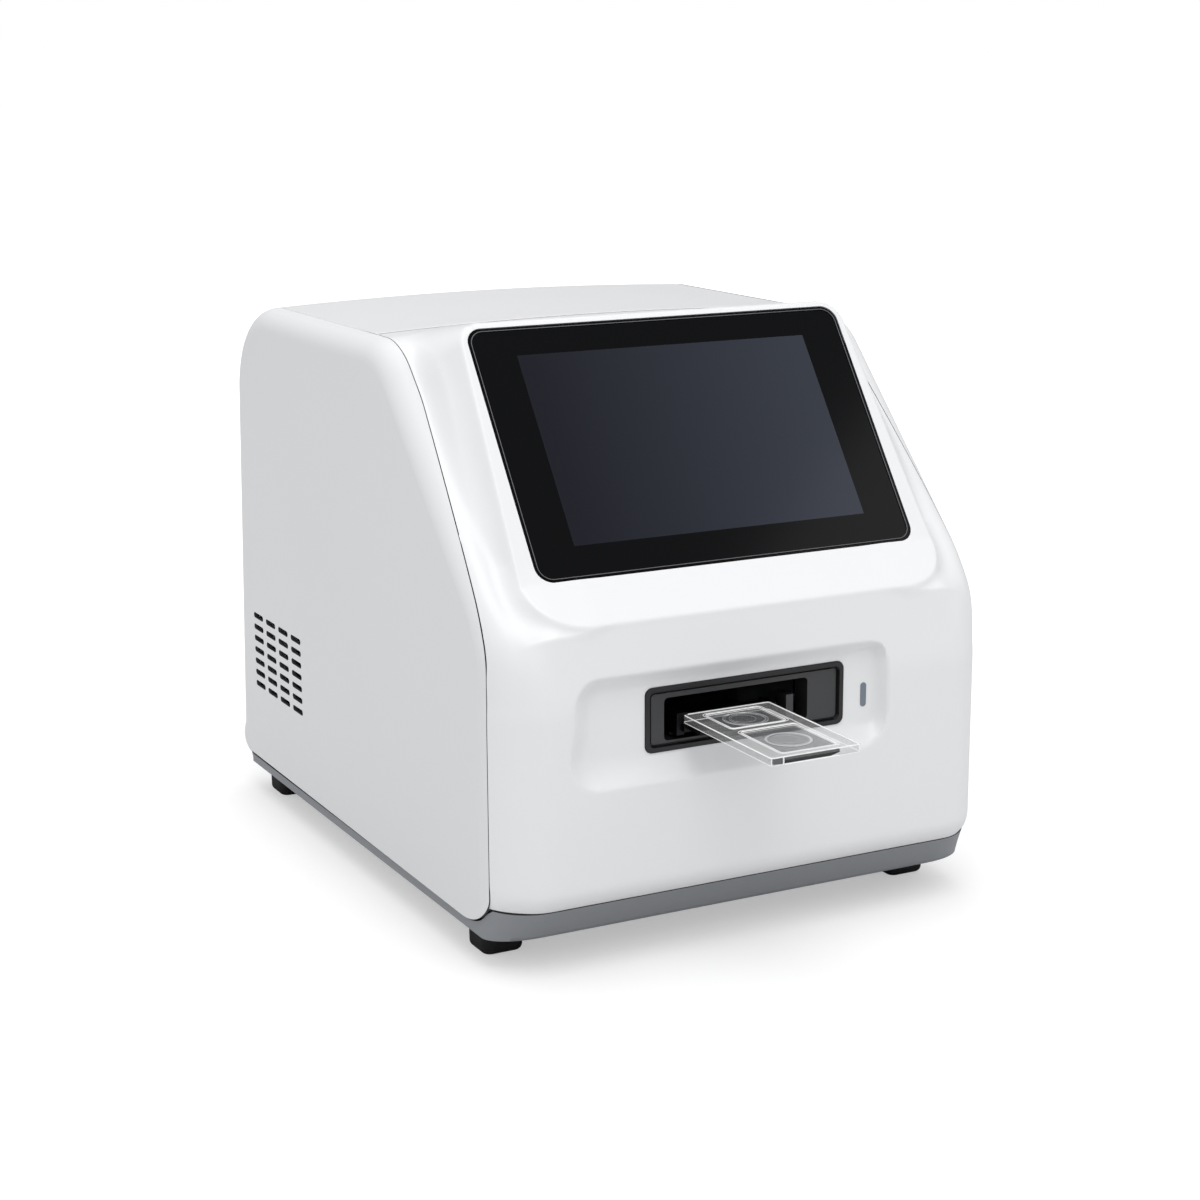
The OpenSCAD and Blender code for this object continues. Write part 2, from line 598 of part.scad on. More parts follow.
module lead_screw() color([0.66, 0.67, 0.7]) place() translate([slide_x + lead_dx, 0, rod_z0]) {
  rod_y(0, 0, screw_r, wall_y[0] + 0.5, wall_y[1] + wall_t - 0.3);
  // stop collar
  rod_y(0, 0, screw_r + 1.5, wall_y[0] + wall_t + 0.3, wall_y[0] + wall_t + 2.3);
}

module carriage_motor() color([0.24, 0.24, 0.26]) place()
  translate([slide_x + lead_dx, wall_y[1] + wall_t, rod_z0]) {
    rotate([-90, 0, 0]) linear_extrude(30) polygon(rrect(motor_s, motor_s, 3, 3));
    rod_y(0, 0, 4, 29.9, 32);
  }

eye = [slide_x, 34];             // the optical axis, in (x, y)
module lamp_module() color([0.3, 0.3, 0.32]) place() translate([eye.x, eye.y, 0]) {
  rod_z(0, 0, 13, stage_z + 4, stage_z + 16);
  rod_z(0, 0, 9, stage_z + 15.9, block_z[0] - 3);
  rod_z(0, 0, 6, block_z[0] - 3.1, block_z[0] - 1.5);
}

// the stack above the slide: the tip clears the carriage, the camera clears the display
camera_t = 5;
camera_z = body_h - 76 - camera_t;
tip_z = slide_z + focus_lift + 1.3;
tip_h = 2.5;                     // the objective's cone
ring_h = min(8, camera_z - tip_z - tip_h - 2.5);
ring_lo = max(camera_z - 8 - ring_h, tip_z + tip_h + 1);
ring_z = [ring_lo, ring_lo + ring_h];   // the focus carriage's ring round the objective
column_x = [slide_x + 38, slide_x + 44];
column_z = ring_z[0] - focus_lift - 1;
module optics_column() color([0.66, 0.67, 0.69]) place() difference() {
  box([column_x[0], 26, stage_z + 4], [column_x[1], 62, column_z]);
  translate([0, 44, 34]) along_x(column_x[0] - 1, column_x[1] + 1) polygon(rrect(18, 20, 3));
}
rail_w = 7;
rail_y = 44;
module focus_rail() color([0.78, 0.79, 0.81]) place()
  box([column_x[1], rail_y - rail_w/2, stage_z + 32], [column_x[1] + 5, rail_y + rail_w/2,
    column_z]);

focus_x = column_x[1] + 13;      // the focus screw stands here
focus_r = 2;
module focus_carriage() color([0.22, 0.22, 0.24]) place() difference() {
  union() {
    box([column_x[1] + 0.4, rail_y - 11, 60], [focus_x + 8, rail_y + 11, ring_z[1]]);
    box([eye.x + 6, eye.y - 4, ring_z[0]], [column_x[1] + 2, rail_y + 4, ring_z[1]]);
    rod_z(eye.x, eye.y, objective_r + 5, ring_z[0], ring_z[1]);
  }
  box([column_x[1], rail_y - rail_w/2 - 0.3, 50], [column_x[1] + 5.4,
    rail_y + rail_w/2 + 0.3, ring_z[0]]);
  rod_z(eye.x, eye.y, objective_r + 0.01, ring_z[0] - 1, ring_z[1] + 1);
  rod_z(focus_x, rail_y, focus_r + run_fit, 50, ring_z[1] + 1);
}
module focus_motor() color([0.24, 0.24, 0.26]) place() {
  translate([focus_x, rail_y, stage_z + 4]) linear_extrude(22) polygon(rrect(20, 20, 3, 3));
  rod_z(focus_x, rail_y, 6, stage_z + 25.9, stage_z + 28);
}
module focus_screw() color([0.66, 0.67, 0.7]) place() {
  rod_z(focus_x, rail_y, focus_r, stage_z + 28.2, ring_z[1] + focus_lift + 4);
  rod_z(focus_x, rail_y, focus_r + 1.5, stage_z + 28.2, stage_z + 31);
}
module objective() color([0.75, 0.76, 0.78]) place() translate([eye.x, eye.y, 0]) {
  rod_z(0, 0, objective_r, tip_z + tip_h, camera_z);
  translate([0, 0, tip_z]) cylinder(r1 = 4.5, r2 = objective_r - 1, h = tip_h + 0.1);
}
module camera_module() color([0.1, 0.1, 0.11]) place() translate([eye.x, eye.y, 0]) {
  translate([0, 0, camera_z]) linear_extrude(camera_t) polygon(rrect(25, 25, 2, 3));
  translate([4, 8, camera_z + 1]) cube([6, 6.5, camera_t - 2]);
}

// ---- chassis, boards and rear fittings ----
module chassis_plate() color([0.6, 0.61, 0.63]) place() difference() {
  union() {
    box([-half_w + 5.5, 20, plate_z], [half_w - 5.5, body_d - 18, stage_z]);
    for (s = [-1, 1]) box([s * (half_w - wall - 0.95) - 0.75, 42, plate_z],
      [s * (half_w - wall - 0.95) + 0.75, body_d - 40, 26]);
    for (s = [-1, 1]) box([s * (half_w - wall - 2.2) - 1.4, 42, plate_z],
      [s * (half_w - wall - 2.2) + 1.4, body_d - 40, stage_z]);
  }
  for (p = boss_xy) rod_z(p.x, p.y, 1.6, 0, 20);
}

power_at = [40 - half_w, body_d - 60];   // middle of the power board
io_at = [half_w - 51, body_d - 29];     // middle of the socket board
pcb_z = 16;
module board(p, w, l) {
  translate([p.x, p.y, pcb_z]) linear_extrude(1.6) polygon(rrect(w, l, 1.5, 3));
  for (x = [-1, 1], y = [-1, 1])
    rod_z(p.x + x * (w/2 - 4), p.y + y * (l/2 - 4), 2.5, stage_z, pcb_z + 0.2);
}
module power_board() color([0.05, 0.3, 0.16]) place() board(power_at, 56, 60);
module power_board_parts() color([0.16, 0.16, 0.17]) place()
  translate([power_at.x, power_at.y, pcb_z + 1.6]) {
    translate([-16, -14, 0]) cube([28, 26, 22]);
    for (k = [0 : 2]) translate([-20 + k * 13, 21, 0]) cylinder(r = 5, h = 17);
    translate([17, -24, 0]) cube([4, 40, 24]);
    translate([-24, -26, 0]) cube([14, 8, 10]);
  }
module io_board() color([0.05, 0.3, 0.16]) place() board(io_at, 60, 44);
module socket(p, w, h, deep) place() difference() {
  at_rear(p.x, p.y) translate([0, 0, -deep]) linear_extrude(deep + 0.4)
    polygon(rrect(w, h, 0.3, 2));
  children();
}
module usb_port() color([0.7, 0.71, 0.72])
  socket(usb_at, 13.4, 16, 17)
    at_rear(usb_at.x, usb_at.y) for (y = [-3.9, 3.9]) translate([0, y, -9]) difference() {
      linear_extrude(12) polygon(rrect(12.2, 5.4, 0.3, 2));
      translate([-5.2, -0.2, -1]) cube([10.4, 1.9, 9]);
    }
module ethernet_port() color([0.7, 0.71, 0.72])
  socket(lan_at, 16.1, 13.6, 20)
    at_rear(lan_at.x, lan_at.y) translate([0, 0, -12]) {
      translate([-6, -5.2, 0]) cube([12, 7.2, 15]);
      translate([-3.2, -5.2, 0]) cube([6.4, 10.4, 15]);
    }
module power_inlet() color([0.1, 0.1, 0.11]) place() at_rear(inlet_at.x, inlet_at.y)
  difference() {
    union() {
      translate([0, 0, -20]) linear_extrude(20 + eps) polygon(rrect(27.2, 19.8, 2.8));
      linear_extrude(flange_t) polygon(rrect(32, 24, 3));
    }
    translate([0, 0, -14]) difference() {
      linear_extrude(20) polygon(rounded([[-12, -8.2], [12, -8.2], [12, 3], [7, 8.2],
        [-7, 8.2], [-12, 3]], [2, 2, 2, 2, 2, 2], 4));
      for (x = [-7, 0, 7]) translate([x - 1, x == 0 ? 0.5 : -4.5, -1]) cube([2, 4, 12]);
    }
  }
pin_r = 1;             // the rocker's pins
module switch_housing() color([0.1, 0.1, 0.11]) place() at_rear(switch_at.x, switch_at.y)
  difference() {
    union() {
      translate([0, 0, -16]) linear_extrude(16 + eps) polygon(rrect(19, 12.8, 0.5, 2));
      linear_extrude(flange_t) polygon(rrect(21, 15, 1.5));
    }
    translate([-8.1, -5.1, -9]) cube([16.2, 10.2, 20]);
    // the rocker's pins run in the side walls
    rod_y(0, -pivot, pin_r + run_fit, -5.8, 5.8);
  }
module switch_rocker() color([0.14, 0.14, 0.15]) place() at_rear(switch_at.x, switch_at.y)
  translate([0, 0, -pivot]) rotate([0, rock, 0]) {
    difference() {
      translate([-rocker_w, -4.8, pivot - 4.4]) cube([2 * rocker_w, 9.6, 4.4 + rocker_top]);
      // the dished face
      rod_y(0, pivot + rocker_top + 16.5, 17.8, -6, 6);
    }
    rod_y(0, 0, pin_r, -5.5, 5.5);
  }

fan_r = fan_s / 2 - 1.6;
fan_t = 15;
module fan_frame() color([0.11, 0.11, 0.12]) place() at_rear(fan_at.x, fan_at.y)
  translate([0, 0, -wall - fan_t]) difference() {
    linear_extrude(fan_t) polygon(rrect(fan_s, fan_s, 4, 4));
    translate([0, 0, 1.6]) cylinder(r = fan_r, h = fan_t);
    difference() {
      translate([0, 0, -1]) cylinder(r = fan_r, h = 4);
      translate([0, 0, -2]) cylinder(r = 11, h = 6);
      for (a = [0, 60, 120]) rotate([0, 0, a]) translate([-fan_s/2, -1.5, -2])
        cube([fan_s, 3, 6]);
    }
    for (x = [-1, 1], y = [-1, 1]) translate([x, y, 0] * (fan_s / 2 - 5))
      translate([0, 0, -1]) cylinder(r = 2.15, h = fan_t + 2);
  }
module fan_rotor() color([0.15, 0.15, 0.16]) place() at_rear(fan_at.x, fan_at.y)
  translate([0, 0, -wall - fan_t + 2]) {
    cylinder(r = 11, h = 11);
    for (a = [0 : 60 : 300]) rotate([0, 0, a]) translate([10, 0, 5.5]) rotate([50, 0, 0])
      translate([0, -6.5, -0.6]) cube([fan_r - 11.2, 13, 1.2]);
  }
module fan_screws() color([0.35, 0.35, 0.37]) place() at_rear(fan_at.x, fan_at.y)
  for (x = [-1, 1], y = [-1, 1]) translate([x, y, 0] * (fan_s / 2 - 5)) {
    cylinder(r = 3.6, h = 1.6);
    translate([0, 0, -wall - 9]) cylinder(r = 2.1, h = wall + 9.1);
  }
module case_screws() color([0.35, 0.35, 0.37]) place() for (p = boss_xy) {
  rod_z(p.x, p.y, 3, 0.2, 1.9);
  rod_z(p.x, p.y, 1.5, 1.8, stage_z + 0.4);
}

module foot(x, y) color([0.1, 0.1, 0.1]) place() translate([x, y, -foot_h]) {
  cylinder(r1 = foot_d / 2 - 1.5, r2 = foot_d / 2, h = 1.5);
  translate([0, 0, 1.5]) cylinder(r = foot_d / 2, h = foot_h - 1.5);
}
module foot_front_left() foot(-foot_x, foot_y[0]);
module foot_front_right() foot(foot_x, foot_y[0]);
module foot_rear_left() foot(-foot_x, foot_y[1]);
module foot_rear_right() foot(foot_x, foot_y[1]);

base_tray();
front_fascia();
left_side_panel();
right_side_panel();
top_cover();
rear_panel();
screen_glass();
display_module();
display_bracket();
display_screws();
main_board();
main_board_parts();
slot_bezel();
status_light();
counting_slide();
slide_strip();
slide_carriage();
lead_nut();
guide_rods();
stage_frame();
lead_screw();
carriage_motor();
lamp_module();
optics_column();
focus_rail();
focus_carriage();
focus_motor();
focus_screw();
objective();
camera_module();
chassis_plate();
power_board();
power_board_parts();
io_board();
usb_port();
ethernet_port();
power_inlet();
switch_housing();
switch_rocker();
fan_frame();
fan_rotor();
fan_screws();
case_screws();
foot_front_left();
foot_front_right();
foot_rear_left();
foot_rear_right();
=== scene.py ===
# %% [markdown]
# # Automated cell counter
# A bench instrument that counts cells in a clear slide: a white moulded front with a sloping touch
# screen, grey side panels, a tray on rubber feet, and a slot for the slide's motor-driven carriage. The
# CAD frame gives places, sizes and the mechanical pieces' meshes. The large shells are built again as
# fine sheets, as facets would show in their wide blends.
# %% The frame
import bpy, bmesh, json, math, mathutils
import numpy as np
from mathutils import Matrix, Vector

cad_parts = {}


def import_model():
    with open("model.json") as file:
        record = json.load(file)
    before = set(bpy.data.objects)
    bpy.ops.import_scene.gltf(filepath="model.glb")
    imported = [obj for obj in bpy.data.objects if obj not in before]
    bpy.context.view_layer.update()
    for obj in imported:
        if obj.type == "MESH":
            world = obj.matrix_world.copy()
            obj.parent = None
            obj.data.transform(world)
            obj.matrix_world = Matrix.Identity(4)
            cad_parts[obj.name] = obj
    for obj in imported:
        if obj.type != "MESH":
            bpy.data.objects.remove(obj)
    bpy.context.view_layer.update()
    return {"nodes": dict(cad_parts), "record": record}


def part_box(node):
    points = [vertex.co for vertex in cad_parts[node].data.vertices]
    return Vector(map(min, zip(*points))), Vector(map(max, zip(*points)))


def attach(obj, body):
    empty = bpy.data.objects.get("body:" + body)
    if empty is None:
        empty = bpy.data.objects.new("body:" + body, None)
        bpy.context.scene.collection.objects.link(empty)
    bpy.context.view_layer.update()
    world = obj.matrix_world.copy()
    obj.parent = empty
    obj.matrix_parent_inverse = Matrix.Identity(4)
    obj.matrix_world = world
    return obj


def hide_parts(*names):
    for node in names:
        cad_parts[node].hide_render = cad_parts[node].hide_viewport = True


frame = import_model()
nodes = frame["nodes"]
Y0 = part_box("front_fascia")[0][1]          # world y of the front face
Z0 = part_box("base_tray")[0][2]             # world z of the tray's bottom
scene = bpy.context.scene
print(len(nodes), "nodes, front face at y", round(Y0, 5), "tray at z", round(Z0, 5))

# %% [markdown]
# ## Millimetres and soft blends
# The shells are thought of in millimetres, and one function turns them into the frame's metres.
# Mouldings have no sharp inner corners, so smooth minimum and maximum functions join the shapes;
# boolean cuts with bevels fail easily on curved surfaces.
# %% Millimetres and blends
def world(x, y, z):
    """Millimetres from the front face and the tray's bottom -> metres in the frame."""
    return np.stack(np.broadcast_arrays(x / 1000.0, y / 1000.0 + Y0, z / 1000.0 + Z0), -1)


def smooth01(t):
    """An even rise from 0 to 1."""
    t = np.clip(t, 0, 1)
    return t * t * (3 - 2 * t)


def smin(a, b, k):
    """Smooth minimum of two distance fields: a fillet of about radius k where they meet."""
    h = np.maximum(k - np.abs(a - b), 0) / k
    return np.minimum(a, b) - h * h * k / 4


def smax(a, b, k):
    return -smin(-a, -b, k)


def rounded_rect(x, z, w, h, r):
    """Signed distance to a rounded rectangle with half sizes w and h."""
    qx, qz = np.abs(x) - (w - r), np.abs(z) - (h - r)
    return np.hypot(np.maximum(qx, 0), np.maximum(qz, 0)) + np.minimum(np.maximum(qx, qz), 0) - r


print("the front face's middle is at", world(0.0, 0.0, 70.0).round(4))

# %% [markdown]
# ## The side outline
# From the side the casing is one run: rolled lower edge, upright front, slope, flat top, leaning rear.
# A curve object could draw it, but later steps need a place and an outward direction at every step, so
# two short functions walk along it.
# %% Walking along an outline
def arc_at(corner, before, after, radius):
    """Where a rounded corner's arc starts and ends, and its centre."""
    u, v = before - corner, after - corner
    u, v = u / np.linalg.norm(u), v / np.linalg.norm(v)
    half = math.acos(np.clip(u @ v, -1, 1)) / 2
    tangent = radius / math.tan(half)
    centre = corner + (u + v) / np.linalg.norm(u + v) * radius / math.sin(half)
    return corner + u * tangent, corner + v * tangent, centre


def walk(outline, step):
    """Points (y, z) and outward normals along the outline, up the front and over to the rear."""
    corners = [np.array(corner, float) for corner, _radius in outline]
    points, normals = [], []
    start = corners[0]
    for i in range(1, len(corners)):
        radius = outline[i][1]
        arc_in = arc_out = corners[i]
        if radius:
            arc_in, arc_out, centre = arc_at(corners[i], corners[i - 1], corners[i + 1], radius)
        run = np.linalg.norm(arc_in - start)
        along = (arc_in - start) / run
        count = max(1, round(run / step))
        for j in range(count + (not radius)):
            points.append(start + along * run * j / count)
            normals.append(np.array([-along[1], along[0]]))
        if radius:
            a0, a1 = (math.atan2(*(q - centre)[::-1]) for q in (arc_in, arc_out))
            sweep = (a1 - a0 + math.pi) % (2 * math.pi) - math.pi
            count = max(4, round(abs(sweep) * radius / step))
            for j in range(count):
                a = a0 + sweep * j / count
                normals.append(np.array([math.cos(a), math.sin(a)]))
                points.append(centre + radius * normals[-1])
        start = arc_out
    return np.array(points), np.array(normals)


quarter = walk([((0, 0), 0), ((0, 20), 10), ((20, 20), 0)], 1)[0]
print("two runs of 10 mm and a quarter round have", len(quarter), "points")

# %% [markdown]
# ## The casing's outline
# The corner points repeat the CAD's, with arcs of 40 mm into the slope, 28 mm into the top and 35
# mm over the rear. The lowest 24 mm of the front point level, so that the lower edge keeps its
# height round the corners.
# %% The casing's outline
W, H = 92.0, 183.0                 # half width, and height of the top
BAND = 5.5                         # height of the tray's side band
REAR_LEAN = math.radians(3.3)
HEEL, HEEL_R = (233.2, 17.5), 12.0 # centre and radius of the rear's lower edge
REAR_K = HEEL[0] * math.cos(REAR_LEAN) + HEEL[1] * math.sin(REAR_LEAN) + HEEL_R


def rear_y(z):
    """How far back the leaning rear lies at height z."""
    return (REAR_K - z * math.sin(REAR_LEAN)) / math.cos(REAR_LEAN)


OUTLINE = [((3.1, 13.1), 0), ((0, 16.2), 9), ((0, 91), 40), ((92, H), 28),
           ((rear_y(H), H), 35), ((rear_y(BAND), BAND), HEEL_R), ((200, BAND), 0)]
P, N = walk(OUTLINE, 1.05)
N[(P[:, 1] < 24) & (P[:, 0] < 50)] = (-1, 0)
print("outline:", len(P), "samples, ends at", P[-1].round(1))

# %% [markdown]
# ## The rolled edges
# Across its width the casing is flat and then rolls down, with 20 mm on the front's corners and 8 mm
# elsewhere. A bevel would need an edge to work on; here each point is laid round the roll, so the rows
# stay even where the radius changes.
# %% The rolled edges
EDGE_R, CORNER_R = 8.0, 20.0
ROLL_FADE = (80, 114)              # heights between which the front's roll becomes the slope's


def roll_radius(y, z, nz):
    """Radius of the roll for each sample; it runs out under the heel."""
    rise = smooth01((z - ROLL_FADE[0]) / (ROLL_FADE[1] - ROLL_FADE[0])) * (y < 100) + (y >= 100)
    r = CORNER_R + (EDGE_R - CORNER_R) * rise
    heel = smooth01(-nz / 0.9) * (y > 200)
    return r + (1.0 - r) * heel


def across(u, r):
    """x, drop below the outline and roll angle, a distance u out from the middle."""
    a = np.clip((np.abs(u) - (W - r)) / r, 0, math.pi / 2)
    x = np.minimum(np.abs(u), W - r) + r * np.sin(a)
    return np.sign(u) * x, r * (1 - np.cos(a)), a


R = roll_radius(P[:, 0], P[:, 1], N[:, 1])
print("roll radius from", R.min().round(1), "to", R.max().round(1), "mm")

# %% [markdown]
# ## The seams
# Fascia, side panels and cover are separate mouldings, and a gap of 0.3 mm shows between them as a
# thin line. A cut would leave ragged triangles, so each sheet ends where its rolled surface crosses
# the seam's plan line.
# %% The seams
SEAM_Y, SEAM_GAP = 13.8, 0.3       # the side panels start here
SEAM_RUN = 75                      # the seam has run in by here
SEAM_FRONT = 1.1                   # how far inside the side face it starts
COVER_Y, COVER_Z = 113.0, 150.0    # front and rear edge of the cover


def seam_x(y):
    """Half width of the seam between fascia and side panel, seen from above."""
    run = np.clip((y - SEAM_Y) / (SEAM_RUN - SEAM_Y), 0, 1)
    return (W - SEAM_FRONT) + (SEAM_FRONT - EDGE_R) * run


def seam_reach(p, n, r, gap):
    """How far out from the middle the seam lies, for each sample of the outline."""
    u = np.linspace(60, W + 12, 1801)[None]
    x, drop, _angle = across(u, r[:, None])
    y = p[:, :1] - n[:, :1] * drop
    front = (y < SEAM_Y - gap) & (p[:, :1] < 100)
    beyond = ~(front | (x < seam_x(y) - gap))
    reach = u[0, np.where(beyond.any(1), beyond.argmax(1), u.shape[1] - 1)]
    reach = np.minimum(reach, (W - r) + r * math.pi / 2)
    return np.convolve(np.pad(reach, 3, mode="edge"), np.ones(7) / 7, "valid")


print("the seam runs in from", seam_x(SEAM_Y), "to", seam_x(SEAM_RUN), "mm")

# %% [markdown]
# ## The crown of the top
# Large flat mouldings sink while they cool, so the tool is slightly crowned. A bump map can't
# change the outline, so the points themselves rise, by 2.3 mm in the middle of the top.
# %% The crown of the top
CROWN = 2.3


def crown(x, y):
    rise = smooth01((y - 84) / 18) * smooth01((243 - y) / 45)
    return CROWN * rise * np.maximum(1 - (x / (W - EDGE_R)) ** 2, 0)


print("crown at the cover's edge", round(float(crown(0.0, COVER_Y)), 2), "mm")

# %% [markdown]
# ## The screen's raised frame
# The touch screen sits in a frame with drafted walls, whose lower border turns forward to a lip above
# the slot. It is a distance field, negative inside: a field blends into the slope with a fillet of
# changing radius, which a modelled block can't.
# %% The screen's raised frame
TILT = math.radians(54.1)
CT, ST = math.cos(TILT), math.sin(TILT)
SCREEN = (67.9, H + 0.1)           # where the screen plane meets the top
GLASS_FOOT = (18.4, 114.6)         # lower edge of the cover glass
LIP = (4.5, 102.9)                 # the border below the glass reaches forward to here
LIP_LEAN = math.atan2(GLASS_FOOT[0] - LIP[0], GLASS_FOOT[1] - LIP[1])
FRAME_TOP, FRAME_LIP, FRAME_END = -8.3, 99.0, 104.3   # down the slope: upper edge, lip, block's end
DRAFT = math.radians(27.5)


def on_screen(y, z):
    """Distance down the slope from the datum, and depth below the screen plane."""
    dy, dz = y - SCREEN[0], z - SCREEN[1]
    return -dy * CT - dz * ST, dy * ST - dz * CT


def behind(y, z, through, lean):
    """Depth behind a plane through a point that leans back from the vertical."""
    return (y - through[0]) * math.cos(lean) - (z - through[1]) * math.sin(lean)


def frame_half(s):
    """The frame's half width, s down the slope."""
    return 72.2 + (s - FRAME_TOP) * (5.6 / 108.6)


def raised_frame(x, y, z):
    s, d = on_screen(y, z)
    r = np.where(s < 46, 8.0, 19.0)
    half = (FRAME_END - FRAME_TOP) / 2
    flat = rounded_rect(x, s - (FRAME_TOP + half), frame_half(s), half, r)
    wall = (flat - d * math.tan(DRAFT)) * math.cos(DRAFT)
    return smax(wall, np.minimum(-d, -behind(y, z, LIP, LIP_LEAN)), 0.5)


print("the lip's border leans", round(math.degrees(LIP_LEAN), 1), "degrees")

# %% [markdown]
# ## The hollow round the slot
# Fingers take the slide in a hollow of 5 mm, with a crisp ramp below, soft rolls above and on the left,
# and a steep right end. Sculpting is hard to repeat; one depth function over the front view gives all
# four sides.
# %% The hollow round the slot
HOLLOW_MID, HOLLOW_HALF, HOLLOW_R = (-10.4, 70.8), (58.5, 19.6), 11.0
HOLLOW_DEPTH, RAMP, STEEP = 5.0, 9.5, 3.0


def hollow(x, y, z):
    """Distance in front of the hollow's floor."""
    dx, dz = x - HOLLOW_MID[0], z - HOLLOW_MID[1]
    inward = -rounded_rect(dx, dz, *HOLLOW_HALF, HOLLOW_R)
    past_ends = np.abs(dx) - (HOLLOW_HALF[0] - HOLLOW_R)
    past_sides = np.abs(dz) - (HOLLOW_HALF[1] - HOLLOW_R)
    right = smooth01((past_ends - past_sides) / 12 + 0.5) * (dx > 0)
    part = np.minimum(inward / (RAMP + (STEEP - RAMP) * right), 1)
    soft = smooth01((z - 58) / 16) * (1 - right)
    shape = (1 - soft) * (1 - (1 - part) ** 2) + soft * smooth01(part)
    return (y - HOLLOW_DEPTH * np.where(part > 0, shape, 2 * part)) * 0.7


print("floor of the hollow at y", HOLLOW_DEPTH, "mm")

# %% [markdown]
# ## Meeting the moulding
# Each point walks from the outline along its normal until slope, frame and hollow together give zero.
# This is sphere tracing, and it leaves an even grid where a boolean leaves a cut-up mesh.
# %% Meeting the moulding
FILLET_AT = [-18, -8, 2, 18, 60, 80, 105]       # down the slope
FILLET = [2, 6, 12, 13, 6, 1.2, 0.8]            # radius there
CORNER_FILLET = 2.6                             # more round the lip's ends


def moulded(p, n, x, h0, cosa):
    """Height above the outline at which each ray meets the moulding."""
    h = np.full(x.shape, 45.0)
    for _ in range(90):
        y, z = p[..., 0] + n[..., 0] * h, p[..., 1] + n[..., 1] * h
        s, _depth = on_screen(y, z)
        k = np.interp(s, FILLET_AT, FILLET)
        k = k + CORNER_FILLET * smooth01((np.abs(x) - 48) / 12) * smooth01((s - 70) / 12)
        f = smin((h - h0) * cosa, raised_frame(x, y, z), k)
        f = smax(f, -hollow(x, y, z), 0.4)
        h = h - 0.8 * f
    return h


print("fillets from", min(FILLET), "to", max(FILLET), "mm")

# %% [markdown]
# ## Sheets, rims and soft edges
# A plastic shell shows its thickness only at its rims. Solidify folds the rim inwards, Bevel gives it a
# moulded edge's small radius, and Weighted Normal keeps the faces beside it flat. The rim has a second
# material, a painted shade, as the walls of a narrow gap are darker. A full inner wall would double the
# mesh for nothing seen.
# %% Sheets, rims and soft edges
def add_object(name, data):
    ob = bpy.data.objects.new(name, data)
    scene.collection.objects.link(ob)
    return ob


def grid_mesh(name, pts, keep=None):
    """A smooth sheet from rows of points, without the cells that are not kept."""
    nv, nu = pts.shape[:2]
    idx = np.arange(nv * nu).reshape(nv, nu)
    quads = np.stack([idx[:-1, :-1], idx[:-1, 1:], idx[1:, 1:], idx[1:, :-1]], -1)
    if keep is not None:
        quads = quads[keep]
    me = bpy.data.meshes.new(name)
    me.from_pydata(pts.reshape(-1, 3).tolist(), [], quads.reshape(-1, 4).tolist())
    bm = bmesh.new()
    bm.from_mesh(me)
    bmesh.ops.delete(bm, geom=[v for v in bm.verts if not v.link_faces], context="VERTS")
    for f in bm.faces:
        f.smooth = True
    bm.to_mesh(me)
    bm.free()
    return add_object(name, me)


def from_bmesh(name, bm):
    me = bpy.data.meshes.new(name)
    bm.to_mesh(me)
    bm.free()
    return add_object(name, me)


def add_modifier(ob, kind, **values):
    m = ob.modifiers.new(kind.lower(), kind)
    for k, v in values.items():
        setattr(m, k, v)
    return m


def soften(ob, edge=0.3, angle=40):
    """Rounds the edges sharper than the angle; edge in millimetres."""
    bevel = add_modifier(ob, "BEVEL", width=edge / 1000, segments=2, limit_method="ANGLE",
                         angle_limit=math.radians(angle), use_clamp_overlap=True)
    add_modifier(ob, "WEIGHTED_NORMAL", keep_sharp=True)
    return bevel


def fold_rim(ob, thick=2.8, edge=0.4):
    """The wall's thickness at every open edge, with a small soft corner."""
    # the rim faces take the shell's second material, a painted shade
    add_modifier(ob, "SOLIDIFY", thickness=thick / 1000, offset=-1, use_rim=True, use_rim_only=True,
                 use_even_offset=True, material_offset_rim=1)
    soften(ob, edge, 50)


def bake(ob):
    """Applies the modifiers, so the mesh that is shown is the mesh that is kept."""
    deps = bpy.context.evaluated_depsgraph_get()
    me = bpy.data.meshes.new_from_object(ob.evaluated_get(deps))
    ob.modifiers.clear()
    ob.data = me
    return ob


bodies = frame["record"]["behaviour"]["bodies"]


def body_of(node):
    return next(b for b, names in bodies.items() if node in names)


def stands_for(ob, node):
    """Shows the object in place of the node, on the node's body."""
    body = body_of(node)
    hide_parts(node)
    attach(ob, body)
    print(f"{ob.name}: {len(ob.data.polygons)} faces for {node}")


print("bodies:", ", ".join(bodies))

# %% [markdown]
# ## The fascia's rows
# The fascia is one white moulding up to the front of the top. A bend only looks clean if mesh edges run
# along it. More rows would cost time, so the rows are shifted until one lies on the frame's upper edge
# and one on its lip.
# %% The fascia's rows
def meets_screen(p, n):
    """Where each ray from the outline meets the screen plane, as a distance down the slope."""
    s, d = on_screen(p[:, 0], p[:, 1])
    h = -d / (n[:, 0] * ST - n[:, 1] * CT)
    return s - h * (n[:, 0] * CT + n[:, 1] * ST)


def bump(i, reach):
    """1 at 0, falling to nothing at the reach."""
    return np.cos(np.clip(i / reach, -1, 1) * math.pi / 2) ** 2


def at_rows(p, n, rows):
    p, n = (np.stack([np.interp(rows, np.arange(len(t)), t[:, i]) for i in (0, 1)], -1) for t in (p, n))
    return p, n / np.linalg.norm(n, axis=1)[:, None]


